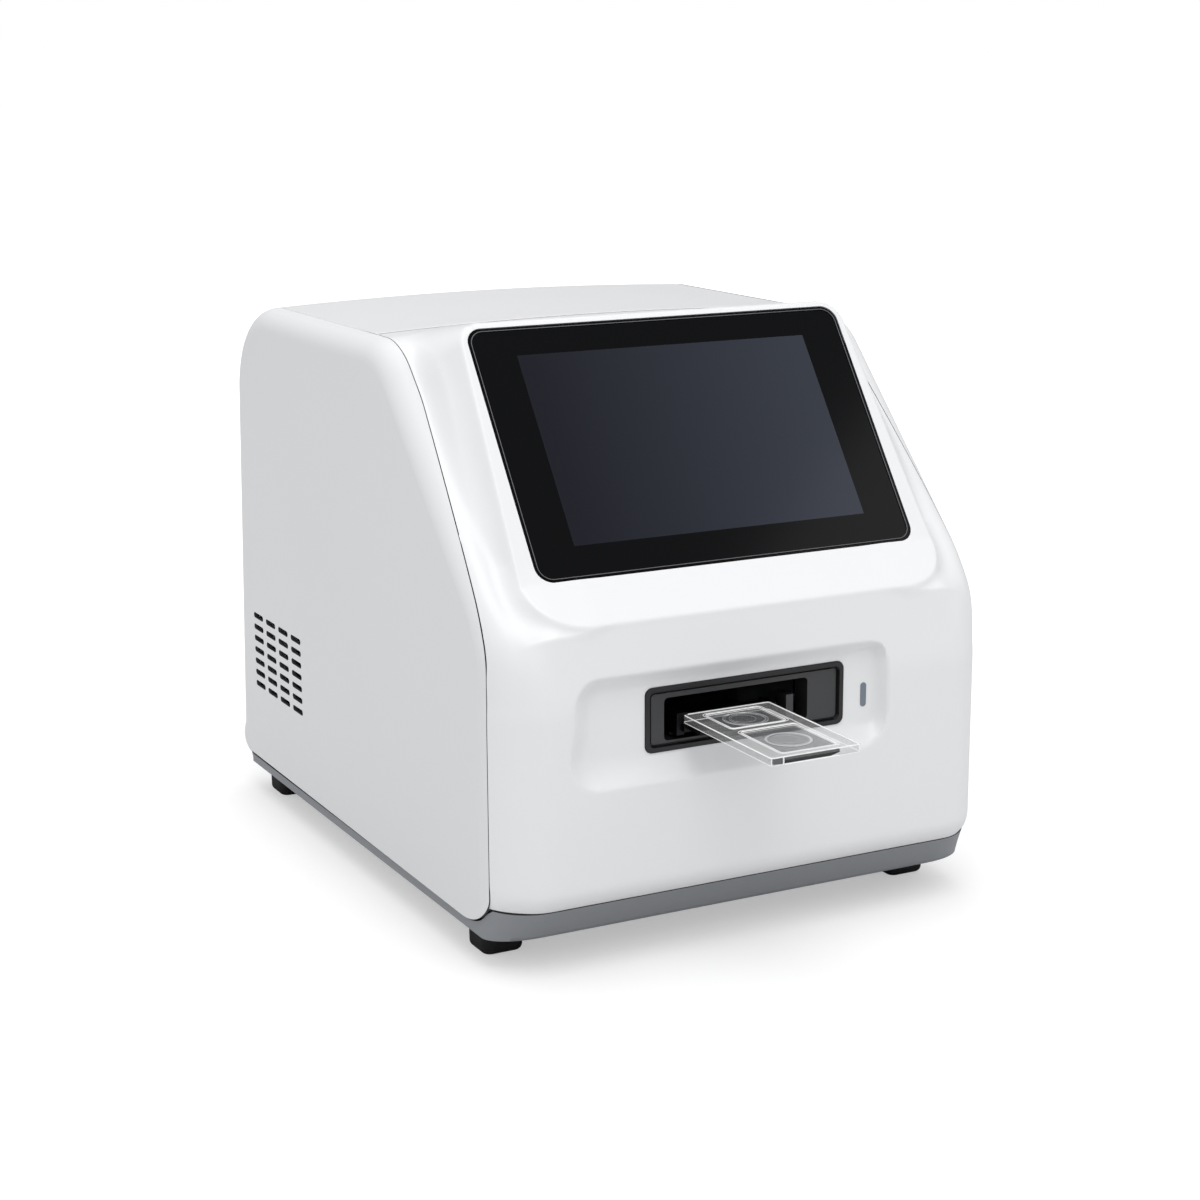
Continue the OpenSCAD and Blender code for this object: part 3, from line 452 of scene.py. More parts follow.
CLOSE = 0.62                       # step of the closer rows
n_fascia = int(np.argmax((P[:, 0] > COVER_Y) & (P[:, 1] > COVER_Z)))
rows = [0.0]
while rows[-1] < n_fascia - 2:
    y, z = P[int(rows[-1])]
    rows.append(rows[-1] + (CLOSE if y < 14 and 47 < z < 107 else 1.0))
PF, NF = at_rows(P, N, rows)
place = np.arange(len(rows), dtype=float)
slope_rows = (PF[:, 1] > 85) & (PF[:, 0] < 85)
for level in (FRAME_TOP, FRAME_LIP):
    met = np.where(slope_rows, meets_screen(PF, NF), 999.0)
    k0 = int(np.abs(met - level).argmin())
    k1 = k0 + (met[k0] - level) / (met[k0] - met[k0 + 1])
    place += (k1 - k0) * bump(np.arange(len(rows)) - k0, 6)
PF, NF = at_rows(PF, NF, place)
PF[-1, 0] = COVER_Y                # the last row lies at the cover's seam
R_F = roll_radius(PF[:, 0], PF[:, 1], NF[:, 1])
L_F = seam_reach(PF, NF, R_F, SEAM_GAP)
print("fascia:", len(rows), "rows, widest", round(2 * float(L_F.max()), 1), "mm round the rolls")

# %% [markdown]
# ## The fascia's columns
# The columns spread from seam to seam, closer towards the frame's walls, and one on each side is
# bent to lie on the frame's edge, for the same reason as the rows.
# %% The fascia's columns
COLUMNS = 257
t = np.linspace(-1, 1, COLUMNS)
t = t + 0.11 * np.sin(np.pi * t) * (1 - t ** 2)
U = t[None] * L_F[:, None]
met = meets_screen(PF, NF)
inside = np.clip(met, FRAME_TOP, FRAME_LIP)
weight = smooth01(1 - np.abs(met - inside) / 14) * slope_rows
edge_u = frame_half(inside)
middle = int(np.abs(met - 46).argmin())
for side in (-1, 1):
    c = int(np.abs(U[middle] - side * edge_u[middle]).argmin())
    shift = (side * edge_u - U[:, c]) * weight
    U = U + shift[:, None] * bump(np.arange(COLUMNS) - c, 20)[None]
X, DROP, ROLL = across(U, R_F[:, None])
PP = np.repeat(PF[:, None], COLUMNS, 1)
NN = np.repeat(NF[:, None], COLUMNS, 1)
print("least column step", round(float(np.diff(U, axis=1).min()), 3), "mm")

# %% [markdown]
# ## The fascia's heights
# First the plain surface: outline, rolls, crown, a dip at the cover's seam, and the front that leans
# back up to the lip. Then the rays meet frame and hollow. Near the seams this fades back to plain, so
# that the panels meet edge to edge.
# %% The fascia's heights
FRONT_LEAN = math.radians(10.25)
LEAN_FROM = 81.5                   # height at which the leaning front leaves the arc


def height_to(through, lean):
    """Height above the outline of a leaning plane, for each row."""
    towards = NF[:, 0] * math.cos(lean) - NF[:, 1] * math.sin(lean)
    return -behind(PF[:, 0], PF[:, 1], through, lean) / towards


on_top = PF[:, 1:] > 150
plain = -DROP - 0.2 * smooth01((PF[:, :1] - COVER_Y + 4) / 3.6) * on_top + crown(X, PP[..., 0])
to_front, to_lip = height_to(LIP, FRONT_LEAN)[:, None], height_to(LIP, LIP_LEAN)[:, None]
below_lip = 0.1 + 1.3 * smooth01((np.abs(X) - 50) / 16)
fill = np.minimum(to_front, to_lip - below_lip)
leaning = (PF[:, 1] > LEAN_FROM) & (PF[:, 1] < 118) & (PF[:, 0] < 40)
fill = np.where(leaning[:, None], fill, 0)
plain = np.maximum(plain, plain + (fill - plain) * smooth01((84 - np.abs(X)) / 14))
height = moulded(PP, NN, X, plain, np.cos(ROLL))
fade = smooth01((np.abs(X[:, :1]) - np.abs(X)) / 6.0)
fade = fade * np.where(on_top, smooth01((COVER_Y - 1 - PF[:, :1]) / 12), 1)
height = np.where(height > plain, plain + (height - plain) * fade, height)
YY, ZZ = PP[..., 0] + NN[..., 0] * height, PP[..., 1] + NN[..., 1] * height
print("front reaches y", YY.min().round(2), "mm, top", ZZ.max().round(2), "mm")

# %% [markdown]
# ## The fascia's openings
# Glass and bezel sit in openings. A boolean cut leaves long thin triangles that spoil the shading,
# so the cells inside each outline are dropped and the hole's rim is pulled onto it.
# %% The fascia's openings
GLASS_MID, GLASS_HOLE = 39.15, (70.3, 45.35, 5.7)
BEZEL_MID, BEZEL_HOLE = (-3.3, 69.9), (37.05, 10.75, 2.6)


def snap_hole(pts, dist):
    mid = (dist[:-1, :-1] + dist[1:, :-1] + dist[:-1, 1:] + dist[1:, 1:]) / 4
    keep = mid > 0
    touched = np.zeros(dist.shape, bool)
    for a, b in ((0, 0), (1, 0), (0, 1), (1, 1)):
        touched[a:dist.shape[0] - 1 + a, b:dist.shape[1] - 1 + b] |= ~keep
    rim = touched & (dist > -3)
    du, dv = np.gradient(pts, axis=1), np.gradient(pts, axis=0)
    per_u = np.gradient(dist, axis=1) / (du ** 2).sum(-1)
    per_v = np.gradient(dist, axis=0) / (dv ** 2).sum(-1)
    g = du * per_u[..., None] + dv * per_v[..., None]
    g2 = (g ** 2).sum(-1) + 1e-12
    return pts - np.where(rim, dist / g2, 0)[..., None] * g, keep


s, d = on_screen(YY, ZZ)
glass = rounded_rect(X, s - GLASS_MID, *GLASS_HOLE) + np.where(np.abs(d) < 4, 0, 99)
bezel = rounded_rect(X - BEZEL_MID[0], ZZ - BEZEL_MID[1], *BEZEL_HOLE) + np.where(YY < 9, 0, 99)
pts, keep_glass = snap_hole(np.stack([X, YY, ZZ], -1), glass)
pts, keep_bezel = snap_hole(pts, bezel)
fascia = grid_mesh("fascia_shell", world(*np.moveaxis(pts, -1, 0)), keep_glass & keep_bezel)
fold_rim(fascia)
print("cells dropped: glass", (~keep_glass).sum(), "bezel", (~keep_bezel).sum())

# %% [markdown]
# ## The top cover
# The cover lifts off behind the screen. It has the same outline and crown, so a plain grid is
# enough. It stands 0.15 mm proud at its front edge, where its soft corner catches the light and
# draws the seam.
# %% The top cover
PROUD = 0.15
at = np.arange(n_fascia, len(P))
at = at[(P[at, 1] > COVER_Z) & (P[at, 0] > COVER_Y + 0.8)]
PC = P[at].copy()
PC[0, 0] = COVER_Y + 0.02                        # the first row lies at the seam
XC = np.repeat(np.linspace(-1, 1, 121)[None] * (W - EDGE_R - SEAM_GAP), len(at), 0)
HC = crown(XC, PC[:, :1]) + PROUD * smooth01((COVER_Y + 20 - PC[:, :1]) / 18)
cover = grid_mesh("cover_shell", world(XC, PC[:, :1] + N[at, :1] * HC, PC[:, 1:] + N[at, 1:] * HC))
fold_rim(cover)
print("cover:", len(at), "rows")

# %% [markdown]
# ## The side panels' rolled band
# A side panel is one moulding: a rolled band and a flat face. The band is a grid again, from the seam
# round the roll, then down the front edge and along the toe, a curve back onto the tray's side band.
# %% The side panels' rolled band
TOE = (19.2, 11.5)                  # length and height of the toe's curve


def corner_x(y):
    """Half width of the front's rounded corner, y behind the front face."""
    return (W - CORNER_R) + np.sqrt(CORNER_R ** 2 - np.maximum(CORNER_R - y, 0) ** 2)


def side_rings(sign, cols=11):
    """Rings of the rolled band, from the seam to the flat face."""
    start = int(np.argmax(P[:, 1] > 24))
    stop = int(np.flatnonzero(N[:, 1] > -0.999)[-1]) + 2
    p, n, r = P[start:stop], N[start:stop], R[start:stop]
    reach = seam_reach(p, n, r, 0.0)
    full = (W - r) + r * math.pi / 2
    u = reach[:, None] + (full - reach)[:, None] * np.linspace(0, 1, cols)[None]
    x, drop, _angle = across(u, r[:, None])
    ring = np.stack([x, p[:, :1] - n[:, :1] * drop, p[:, 1:] - n[:, 1:] * drop], -1)
    y_low = ring[0, :, 1]
    rows = []
    for q in np.radians(np.linspace(90, 0, 19)):
        toe_y, z = SEAM_Y + TOE[0] * (1 - math.cos(q)), BAND + TOE[1] * (1 - math.sin(q))
        y = np.maximum(y_low, toe_y)
        rows.append(np.stack([corner_x(y), y, np.full_like(y, z)], -1))
    for z in np.linspace(BAND + TOE[1], ring[0, 0, 2], 5)[1:-1]:
        rows.append(np.stack([corner_x(y_low), y_low, np.full_like(y_low, z)], -1))
    out = np.concatenate([np.array(rows), ring], 0)
    out[..., 0] *= sign
    return out


print("rings of the band:", side_rings(1).shape[0])

# %% [markdown]
# ## The vents
# Four columns of seven slots let the power board's warm air out. Booleans could cut them, but a
# flat face shades the same however it is divided, so it is filled with triangles round their
# outlines.
# %% The vents
VENT_AT, VENT_PITCH, VENTS = (219.1, 63.7), (13.4, 4.5), (4, 7)
VENT_L, VENT_H = 10.2, 2.1


def vent_outlines(n=6):
    r = VENT_H / 2
    turns = [(side, math.radians(base + 180 * k / n)) for side, base in ((1, -90), (-1, 90))
             for k in range(n + 1)]
    for c in range(VENTS[0]):
        for q in range(VENTS[1]):
            cy, cz = VENT_AT[0] - c * VENT_PITCH[0], VENT_AT[1] - q * VENT_PITCH[1]
            yield [(cy + side * (VENT_L / 2 - r) + r * math.cos(a), cz + r * math.sin(a))
                   for side, a in turns]


print("vents on each side:", len(list(vent_outlines())))

# %% [markdown]
# ## The side panels
# Band and flat face share the points of the band's inner ring, so the roll runs into the flat
# without a line. The panels are mirror images: one function, with the sign changed.
# %% The side panels
def rim_order(points, bm):
    """The mesh's vertices along the flat face's outline, each once."""
    tree = mathutils.kdtree.KDTree(len(bm.verts))
    for v in bm.verts:
        tree.insert(v.co, v.index)
    tree.balance()
    order = []
    for q in world(*points.T):
        k = tree.find(q)[1]
        if not order or order[-1] != k:
            order.append(k)
    bm.verts.ensure_lookup_table()
    return [bm.verts[k] for k in order]


def make_side(name, sign):
    rings = side_rings(sign)
    nv, nu = rings.shape[:2]
    bm = bmesh.new()
    vs = [[bm.verts.new(q) for q in row] for row in world(*np.moveaxis(rings, -1, 0))]
    for i in range(nv - 1):
        for j in range(nu - 1):
            q = [vs[i][j], vs[i][j + 1], vs[i + 1][j + 1], vs[i + 1][j]]
            bm.faces.new(q if sign < 0 else q[::-1])
    bmesh.ops.remove_doubles(bm, verts=bm.verts[:], dist=2e-6)
    bm.verts.index_update()
    inner = rim_order(rings[:, -1], bm)
    edges = [bm.edges.get((a, b)) or bm.edges.new((a, b)) for a, b in zip(inner, inner[1:] + inner[:1])]
    for outline in vent_outlines():
        hole = [bm.verts.new(world(np.float64(sign * W), np.float64(y), np.float64(z))) for y, z in outline]
        edges += [bm.edges.new((a, b)) for a, b in zip(hole, hole[1:] + hole[:1])]
    bmesh.ops.triangle_fill(bm, use_beauty=True, use_dissolve=False, edges=edges, normal=(sign, 0, 0))
    for f in bm.faces:
        f.smooth = True
    bmesh.ops.recalc_face_normals(bm, faces=bm.faces[:])
    if sum(f.normal.x * f.calc_area() for f in bm.faces) * sign < 0:
        bmesh.ops.reverse_faces(bm, faces=bm.faces[:])
    ob = from_bmesh(name, bm)
    fold_rim(ob, thick=1.5, edge=0.3)
    return ob


left = make_side("left_panel_shell", -1)
right = make_side("right_panel_shell", 1)
print("faces of a panel:", len(left.data.polygons))

# %% [markdown]
# ## The tray
# It shows as a thin band along the sides and a chin that runs back below the front. The corners of a
# scaled box would stretch, so rings of a rounded rectangle are stacked, moved back in front, and cut to
# the toe's curve at the top.
# %% The tray
def plan(w, y0, y1, rf, rr, n=12):
    """Points round a rounded rectangle in plan, front corners rf, rear corners rr."""
    out = []
    for cx, cy, r, a0 in ((-w + rf, y0 + rf, rf, 180), (w - rf, y0 + rf, rf, 270),
                          (w - rr, y1 - rr, rr, 0), (-w + rr, y1 - rr, rr, 90)):
        for q in range(n + 1):
            a = math.radians(a0 + 90 * q / n)
            out.append((cx + r * math.cos(a), cy + r * math.sin(a)))
    dense = []
    for a, b in zip(out, out[1:] + out[:1]):
        k = max(1, round(math.dist(a, b) / 1.5))
        dense += [(a[0] + (b[0] - a[0]) * j / k, a[1] + (b[1] - a[1]) * j / k) for j in range(k)]
    return np.array(dense)


CHIN_TOP, CHIN_FOOT = 3.4, 12.6     # the chin's front, from its top to its foot
CHIN_H, TRAY_FOOT = 13.1, 1.7       # height of the chin, and of the band's lower edge
TRAY_DROP = 0.55                    # gap under the casing


def make_tray():
    x, y = plan(91, CHIN_TOP, 242.8, 17, 8).T
    t = np.clip((y - SEAM_Y) / TOE[0], 0, 1)
    edge = BAND - 0.15 + TOE[1] * (1 - np.sqrt(np.maximum(1 - (1 - t) ** 2, 0)))
    z_top = np.where(y < SEAM_Y, 13.0, np.minimum(edge, 13.0)) - TRAY_DROP
    rings = [np.stack([x * 0.90, (y - 120) * 0.92 + 122.5, np.zeros_like(x)], -1)]
    for k in (0.0, 0.15, 0.3, 0.5, 0.7, 0.88, 1.0):
        z = TRAY_FOOT + (z_top - TRAY_FOOT) * k
        front_in = (CHIN_FOOT - CHIN_TOP) * (1 - np.minimum(z / CHIN_H, 1)) * np.clip((20.4 - y) / 17, 0, 1)
        rear_in = 3.5 * (1 - np.minimum(z / 5.0, 1)) * (y > 235)
        rings.append(np.stack([x, y + front_in - rear_in, z], -1))
    rings = np.array(rings)
    bm = bmesh.new()
    vs = [[bm.verts.new(q) for q in row] for row in world(*np.moveaxis(rings, -1, 0))]
    n = len(x)
    for low, high in zip(vs, vs[1:]):
        for j in range(n):
            bm.faces.new([low[j], low[(j + 1) % n], high[(j + 1) % n], high[j]])
    bm.faces.new(vs[0][::-1])
    for f in bm.faces:
        f.smooth = len(f.verts) == 4
    ob = from_bmesh("tray_shell", bm)
    fold_rim(ob, thick=2.5, edge=0.25)
    return ob


tray = make_tray()
print("tray:", len(tray.data.polygons), "faces")

# %% [markdown]
# ## The feet
# Moulded rubber blocks with round corners, pressed into the tray. A bevelled cube is the usual way;
# four rings of points give draft and chamfer in one piece, and each foot takes its place from its
# node.
# %% The feet
def loop(cx, cy, wide, long, r, z, n=6):
    """A rounded rectangle of points at height z."""
    pts = []
    for qx, qy, a0 in ((1, 1, 0), (-1, 1, 90), (-1, -1, 180), (1, -1, 270)):
        for k in range(n + 1):
            a = math.radians(a0 + 90 * k / n)
            x, y = cx + qx * (wide / 2 - r), cy + qy * (long / 2 - r)
            pts.append((x + r * math.cos(a), y + r * math.sin(a), z))
    return pts


FOOT_HALF, FOOT_R = 0.0073, 0.0034
FOOT_RINGS = ((0.0, -0.0011), (0.0007, -0.0003), (0.0016, 0.0), (0.0105, 0.0002))   # height, growth


def make_foot(node):
    (ax, ay, az), (bx, by, _bz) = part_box(node)
    cx, cy = (ax + bx) / 2, (ay + by) / 2
    verts = []
    for up, grow in FOOT_RINGS:
        wide = 2 * (FOOT_HALF + grow)
        verts += loop(cx, cy, wide, wide, FOOT_R + grow, az + up)
    rings = len(FOOT_RINGS)
    n = len(verts) // rings
    faces = [(i * n + j, i * n + (j + 1) % n, (i + 1) * n + (j + 1) % n, (i + 1) * n + j)
             for i in range(rings - 1) for j in range(n)]
    faces += [tuple(range(n))[::-1], tuple(range((rings - 1) * n, rings * n))]
    me = bpy.data.meshes.new(node + "_shown")
    me.from_pydata(verts, [], faces)
    for f in me.polygons:
        f.use_smooth = len(f.vertices) == 4
    ob = add_object(me.name, me)
    soften(ob, 0.25, 30)
    stands_for(ob, node)
    return ob


feet = [make_foot(f"foot_{a}_{b}") for a in ("front", "rear") for b in ("left", "right")]

# %% [markdown]
# ## Colours and nodes
# Colours are sRGB hex values, as on a paint card; shaders work in linear light, so one function
# converts them. Another adds any shader node with its settings, values and links.
# %% Colours and nodes
def srgb(hexa):
    """An sRGB hex colour as linear red, green, blue and alpha."""
    c = [int(hexa[i:i + 2], 16) / 255 for i in (1, 3, 5)]
    return [x / 12.92 if x <= 0.04045 else ((x + 0.055) / 1.055) ** 2.4 for x in c] + [1.0]


def add_node(mat, kind, values=None, links=None, **options):
    """Adds a node: options are its settings, values its inputs' values, links their sources."""
    node = mat.node_tree.nodes.new("ShaderNode" + kind)
    for key, value in options.items():
        setattr(node, key, value)
    for key, value in (values or {}).items():
        node.inputs[key].default_value = value
    for key, source in (links or {}).items():
        mat.node_tree.links.new(source, node.inputs[key])
    return node


def material(name):
    mat = bpy.data.materials.new(name)
    mat.use_nodes = True
    return mat, mat.node_tree.nodes["Principled BSDF"]


print("mid grey in linear light:", round(srgb("#808080")[0], 3))

# %% [markdown]
# ## Moulded plastic
# Injection moulding copies the tool. A spark-eroded tool leaves an even grain that breaks up
# highlights; at about 0.05 mm it is too fine to show, so it is drawn at about 0.5 mm. A picture texture
# would need unwrapping, and noise doesn't. A wide tone keeps large faces from looking computed.
# %% Moulded plastic
WIDE_TONE = 111.1                  # millimetres
SPREAD = 0.06                      # the grain's change of roughness


def plastic(name, hexa, rough=0.4, grain=0.35, bump=0.04, tone=0.03):
    """Injection-moulded plastic: grain is its texture's size in millimetres."""
    mat, bsdf = material(name)
    bsdf.inputs["Base Color"].default_value = srgb(hexa)
    here = add_node(mat, "TexCoord").outputs["Object"]
    fine, wide = (add_node(mat, "TexNoise", {"Scale": 1000 / mm, "Detail": 2.0}, {"Vector": here})
                  .outputs["Fac"] for mm in (grain, WIDE_TONE))
    uneven = add_node(mat, "MapRange", {"To Min": rough - SPREAD, "To Max": rough + SPREAD},
                      {"Value": fine})
    tint = add_node(mat, "MapRange", {"To Min": 1 - tone, "To Max": 1.0}, {"Value": wide})
    shade = add_node(mat, "Mix", {0: 1.0, 6: srgb(hexa)}, {7: tint.outputs["Result"]},
                     data_type="RGBA", blend_type="MULTIPLY")
    relief = add_node(mat, "Bump", {"Strength": bump, "Distance": 0.0002}, {"Height": fine})
    link = mat.node_tree.links.new
    link(uneven.outputs["Result"], bsdf.inputs["Roughness"])
    link(relief.outputs["Normal"], bsdf.inputs["Normal"])
    link(shade.outputs[2], bsdf.inputs["Base Color"])
    return mat


# ABS from a finely blasted tool: a satin white with broad, soft highlights
fascia_white = plastic("abs_moulded_satin_white", "#F1F2F4", rough=0.33, grain=0.5, bump=0.02)
# ABS from a spark-eroded tool: duller, and a painted shade darker, so that the panels step back
panel_grey = plastic("abs_moulded_grained_light_grey", "#E9EAEC", rough=0.5, grain=0.45, bump=0.06)
tray_grey = plastic("abs_moulded_grained_mid_grey", "#8E9196", rough=0.5, grain=0.45, bump=0.06)
# polycarbonate: harder and a little glossier at the slot, where hands touch it; the near black is
# the bezel's painted shade, deep inside the slot and at its rim
bezel_grey = plastic("pc_moulded_satin_dark_grey", "#3F4042", rough=0.42, grain=0.4, bump=0.05)
bezel_painted_shade = plastic("pc_moulded_painted_shade_near_black", "#222325", rough=0.4, grain=0.4, bump=0.04)
# the same ABS in black for connectors, rocker and fan: it shows only in its highlights
black_plastic = plastic("abs_moulded_satin_black", "#17181A", rough=0.45, grain=0.4, bump=0.05)
# rubber: coarse and nearly without shine, so that the feet read as soft
rubber = plastic("rubber_moulded_black", "#141415", rough=0.7, grain=0.6, bump=0.12)
# acrylic light pipe: smooth, unlit and faintly cloudy
pipe_grey = plastic("pmma_moulded_polished_grey", "#7A848E", rough=0.25, grain=0.5, bump=0.01, tone=0.1)
# a dyed polymer inlay: the slide's only dark part
strip_dark = plastic("polymer_moulded_dark_grey", "#2A2B2E", rough=0.45, grain=0.4, bump=0.03)
# laminate under a lacquer mask, and moulded packages: the boards seen through the vents
solder = plastic("fr4_solder_masked_green", "#14512F", rough=0.35, grain=0.8, bump=0.05)
chips = plastic("epoxy_moulded_black", "#1B1B1D", rough=0.5, grain=0.3, bump=0.05)
# painted shade on the walls of gaps: the same ABS, darker in deep gaps and lighter in the cover's shallow
# one
seam_painted_light_shade = plastic("abs_moulded_edge_painted_light_shade", "#B4B5B8", rough=0.6, grain=0.45, bump=0.05)
seam_painted_shade = plastic("abs_moulded_edge_painted_shade", "#4C4D50", rough=0.6, grain=0.45, bump=0.05)
# painted highlight on the cover glass's edge: a thin grey line on its bevel and round it
glass_edge_highlight_paint = plastic("glass_edge_painted_highlight", "#6A6B6F", rough=0.3, grain=0.3, bump=0.02)
print("plastics:", len(bpy.data.materials))

# %% [markdown]
# ## Metals
# Rolling, drawing and milling leave fine marks along one direction, which stretch each highlight across
# them and tell the eye it is metal. Stretched noise draws them 25 mm long and 1.1 mm wide; real ones
# are about 0.05 mm wide and wouldn't show.
# %% Metals
MARKS = (25.0, 1.111, 1.111)       # millimetres


def metal(name, hexa, rough, streak=0.25, bump=0.05):
    mat, bsdf = material(name)
    bsdf.inputs["Base Color"].default_value = srgb(hexa)
    bsdf.inputs["Metallic"].default_value = 1.0
    here = add_node(mat, "TexCoord").outputs["Object"]
    drawn = add_node(mat, "Mapping", {"Scale": [1000 / mm for mm in MARKS]}, {"Vector": here})
    fine = add_node(mat, "TexNoise", {"Scale": 1.0, "Detail": 3.0},
                    {"Vector": drawn.outputs["Vector"]}).outputs["Fac"]
    uneven = add_node(mat, "MapRange",
                      {"To Min": rough * (1 - streak), "To Max": rough * (1 + streak)}, {"Value": fine})
    relief = add_node(mat, "Bump", {"Strength": bump, "Distance": 0.0001}, {"Height": fine})
    mat.node_tree.links.new(uneven.outputs["Result"], bsdf.inputs["Roughness"])
    mat.node_tree.links.new(relief.outputs["Normal"], bsdf.inputs["Normal"])
    return mat


steel = metal("steel_zinc_plated", "#B9BCC0", 0.38)               # sheet: bluish and half dull
ground = metal("steel_ground", "#C9CBCE", 0.2)                    # rods: narrow bright lines
aluminium = metal("aluminium_milled", "#C4C6C9", 0.33)            # castings: pale and even
anodised = metal("aluminium_anodised_black", "#2B2B2E", 0.4)      # carriage: dark with a grey sheen
brass = metal("brass_turned", "#C9A85A", 0.28)                    # nut: the only warm colour
chrome = metal("brass_chrome_plated", "#D9DADC", 0.08)            # barrel: near a mirror
dark_steel = metal("steel_zinc_plated_black", "#4A4A4D", 0.35)    # screws: quiet grey dots
print("with the metals:", len(bpy.data.materials), "materials")

# %% [markdown]
# ## The cover glass
# Float glass with an anti-glare etch and a black print on its back. What shows is the black border
# and, inside it, the switched-off panel, a little lighter and bluish, with a painted reflection that
# lightens it towards the right. A test on the place draws it, as a picture texture would need
# unwrapping for one rectangle.
# %% The cover glass
PANEL_HALF = (0.0543, 0.0342)      # half of the visible area: across, and along the slope
PANEL_DOWN = 0.0388                # its middle, down the slope from the datum


def display_glass():
    mat, bsdf = material("glass_float_etched_black_backed")
    bsdf.inputs["Roughness"].default_value = 0.12
    bsdf.inputs["IOR"].default_value = 1.5
    here = add_node(mat, "TexCoord").outputs["Object"]
    split = add_node(mat, "SeparateXYZ", links={"Vector": here}).outputs
    middle_z = float(world(0, *SCREEN)[2] - PANEL_DOWN * ST)
    tests = []
    for axis, centre, half in (("X", 0.0, PANEL_HALF[0]), ("Z", middle_z, PANEL_HALF[1] * ST)):
        off = add_node(mat, "Math", {1: centre}, {0: split[axis]}, operation="SUBTRACT")
        far = add_node(mat, "Math", links={0: off.outputs[0]}, operation="ABSOLUTE")
        tests.append(add_node(mat, "Math", {1: half}, {0: far.outputs[0]}, operation="LESS_THAN"))
    panel = add_node(mat, "Math", links={k: t.outputs[0] for k, t in enumerate(tests)},
                     operation="MULTIPLY")
    # painted reflection: the panel's own dark blue-grey grows lighter towards the right
    painted_reflection_ramp = add_node(mat, "MapRange", {"From Min": -0.05, "From Max": 0.05}, {"Value": split["X"]})
    lit = add_node(mat, "Mix", {6: srgb("#1E1F27"), 7: srgb("#363A44")},
                   {0: painted_reflection_ramp.outputs["Result"]}, data_type="RGBA")
    shown = add_node(mat, "Mix", {6: srgb("#060709")},
                     {0: panel.outputs[0], 7: lit.outputs[2]}, data_type="RGBA")
    mat.node_tree.links.new(shown.outputs[2], bsdf.inputs["Base Color"])
    return mat


glass_black = display_glass()
print("glass:", len(glass_black.node_tree.nodes), "nodes")

# %% [markdown]
# ## Clear polystyrene
# The slide is moulded from clear polystyrene. True refraction in walls this thin turns to noise, so
# the plastic is mixed with plain see-through, and its haze is what catches light. The edges' highlights
# are painted: more haze and a glow.
# %% Clear polystyrene
def clear_plastic(name, body, haze, grain=3.333, pass_grey=0.93, painted_glow=0.0):
    """Mostly see-through, with a haze whose cloudiness has the grain's size in millimetres, and a painted
    glow.
    """
    mat, bsdf = material(name)
    bsdf.inputs["Base Color"].default_value = srgb(body)
    bsdf.inputs["IOR"].default_value = 1.49
    bsdf.inputs["Emission Color"].default_value = (1, 1, 1, 1)
    bsdf.inputs["Emission Strength"].default_value = painted_glow
    here = add_node(mat, "TexCoord").outputs["Object"]
    fine = add_node(mat, "TexNoise", {"Scale": 1000 / grain, "Detail": 3.0},
                    {"Vector": here}).outputs["Fac"]
    uneven = add_node(mat, "MapRange", {"To Min": 0.04, "To Max": 0.14}, {"Value": fine})
    cloud = add_node(mat, "MapRange", {"To Min": haze * 0.7, "To Max": haze * 1.3}, {"Value": fine})
    through = add_node(mat, "BsdfTransparent", {"Color": (pass_grey, pass_grey, pass_grey, 1)})
    both = add_node(mat, "MixShader", links={
        "Fac": cloud.outputs["Result"], 1: through.outputs[0], 2: bsdf.outputs[0]})
    mat.node_tree.links.new(uneven.outputs["Result"], bsdf.inputs["Roughness"])
    mat.node_tree.links.new(both.outputs[0], mat.node_tree.nodes["Material Output"].inputs["Surface"])
    return mat


clear = clear_plastic("polystyrene_moulded_clear", "#E2E3E4", 0.15, pass_grey=0.89)
chamber = clear_plastic("polystyrene_moulded_chamber_floor", "#6F7173", 0.6, 11.11, pass_grey=0.75)
# painted highlight on the slide's edges: white, hazy and glowing
slide_edge_painted_highlight = clear_plastic("polystyrene_painted_edge_highlight", "#FFFFFF", 0.8, painted_glow=0.3)
# the wells' turned rings, a little cloudy, with a weak painted glow
ring_clear_painted_glow = clear_plastic("polystyrene_moulded_ring_painted_glow", "#F2F3F4", 0.55, painted_glow=0.08)
print("all materials:", len(bpy.data.materials))

# %% [markdown]
# ## Materials on the pieces
# Each piece names a finish, its slot, and one table says which material shows it. The shells get a
# second one, a painted shade, for the walls of the gaps.
# %% Materials on the pieces
LOOK = {
    "fascia_plastic": fascia_white, "panel_plastic": panel_grey, "tray_plastic": tray_grey,
    "cover_glass": glass_black, "display_black": black_plastic, "steel_sheet": steel,
    "screw_steel": dark_steel, "circuit_board": solder, "component_black": chips,
    "bezel_plastic": bezel_grey, "light_pipe": pipe_grey, "clear_plastic": clear,
    "strip_grey": strip_dark, "anodised_black": anodised, "brass_nut": brass,
    "ground_steel": ground, "cast_aluminium": aluminium, "motor_black": black_plastic,
    "chrome_barrel": chrome, "port_steel": steel, "inlet_black": black_plastic,
    "rocker_black": black_plastic, "fan_black": black_plastic, "foot_rubber": rubber,
}
slot_of = {s["node"]: s["material_slot"] for s in frame["record"]["subparts"]}
for name, ob in nodes.items():
    ob.data.materials.clear()
    ob.data.materials.append(LOOK[slot_of[name]])
for ob in feet:
    ob.data.materials.append(rubber)
SHELLS = ((fascia, "front_fascia", "fascia_plastic"), (cover, "top_cover", "fascia_plastic"),
          (left, "left_side_panel", "panel_plastic"), (right, "right_side_panel", "panel_plastic"),
          (tray, "base_tray", "tray_plastic"))
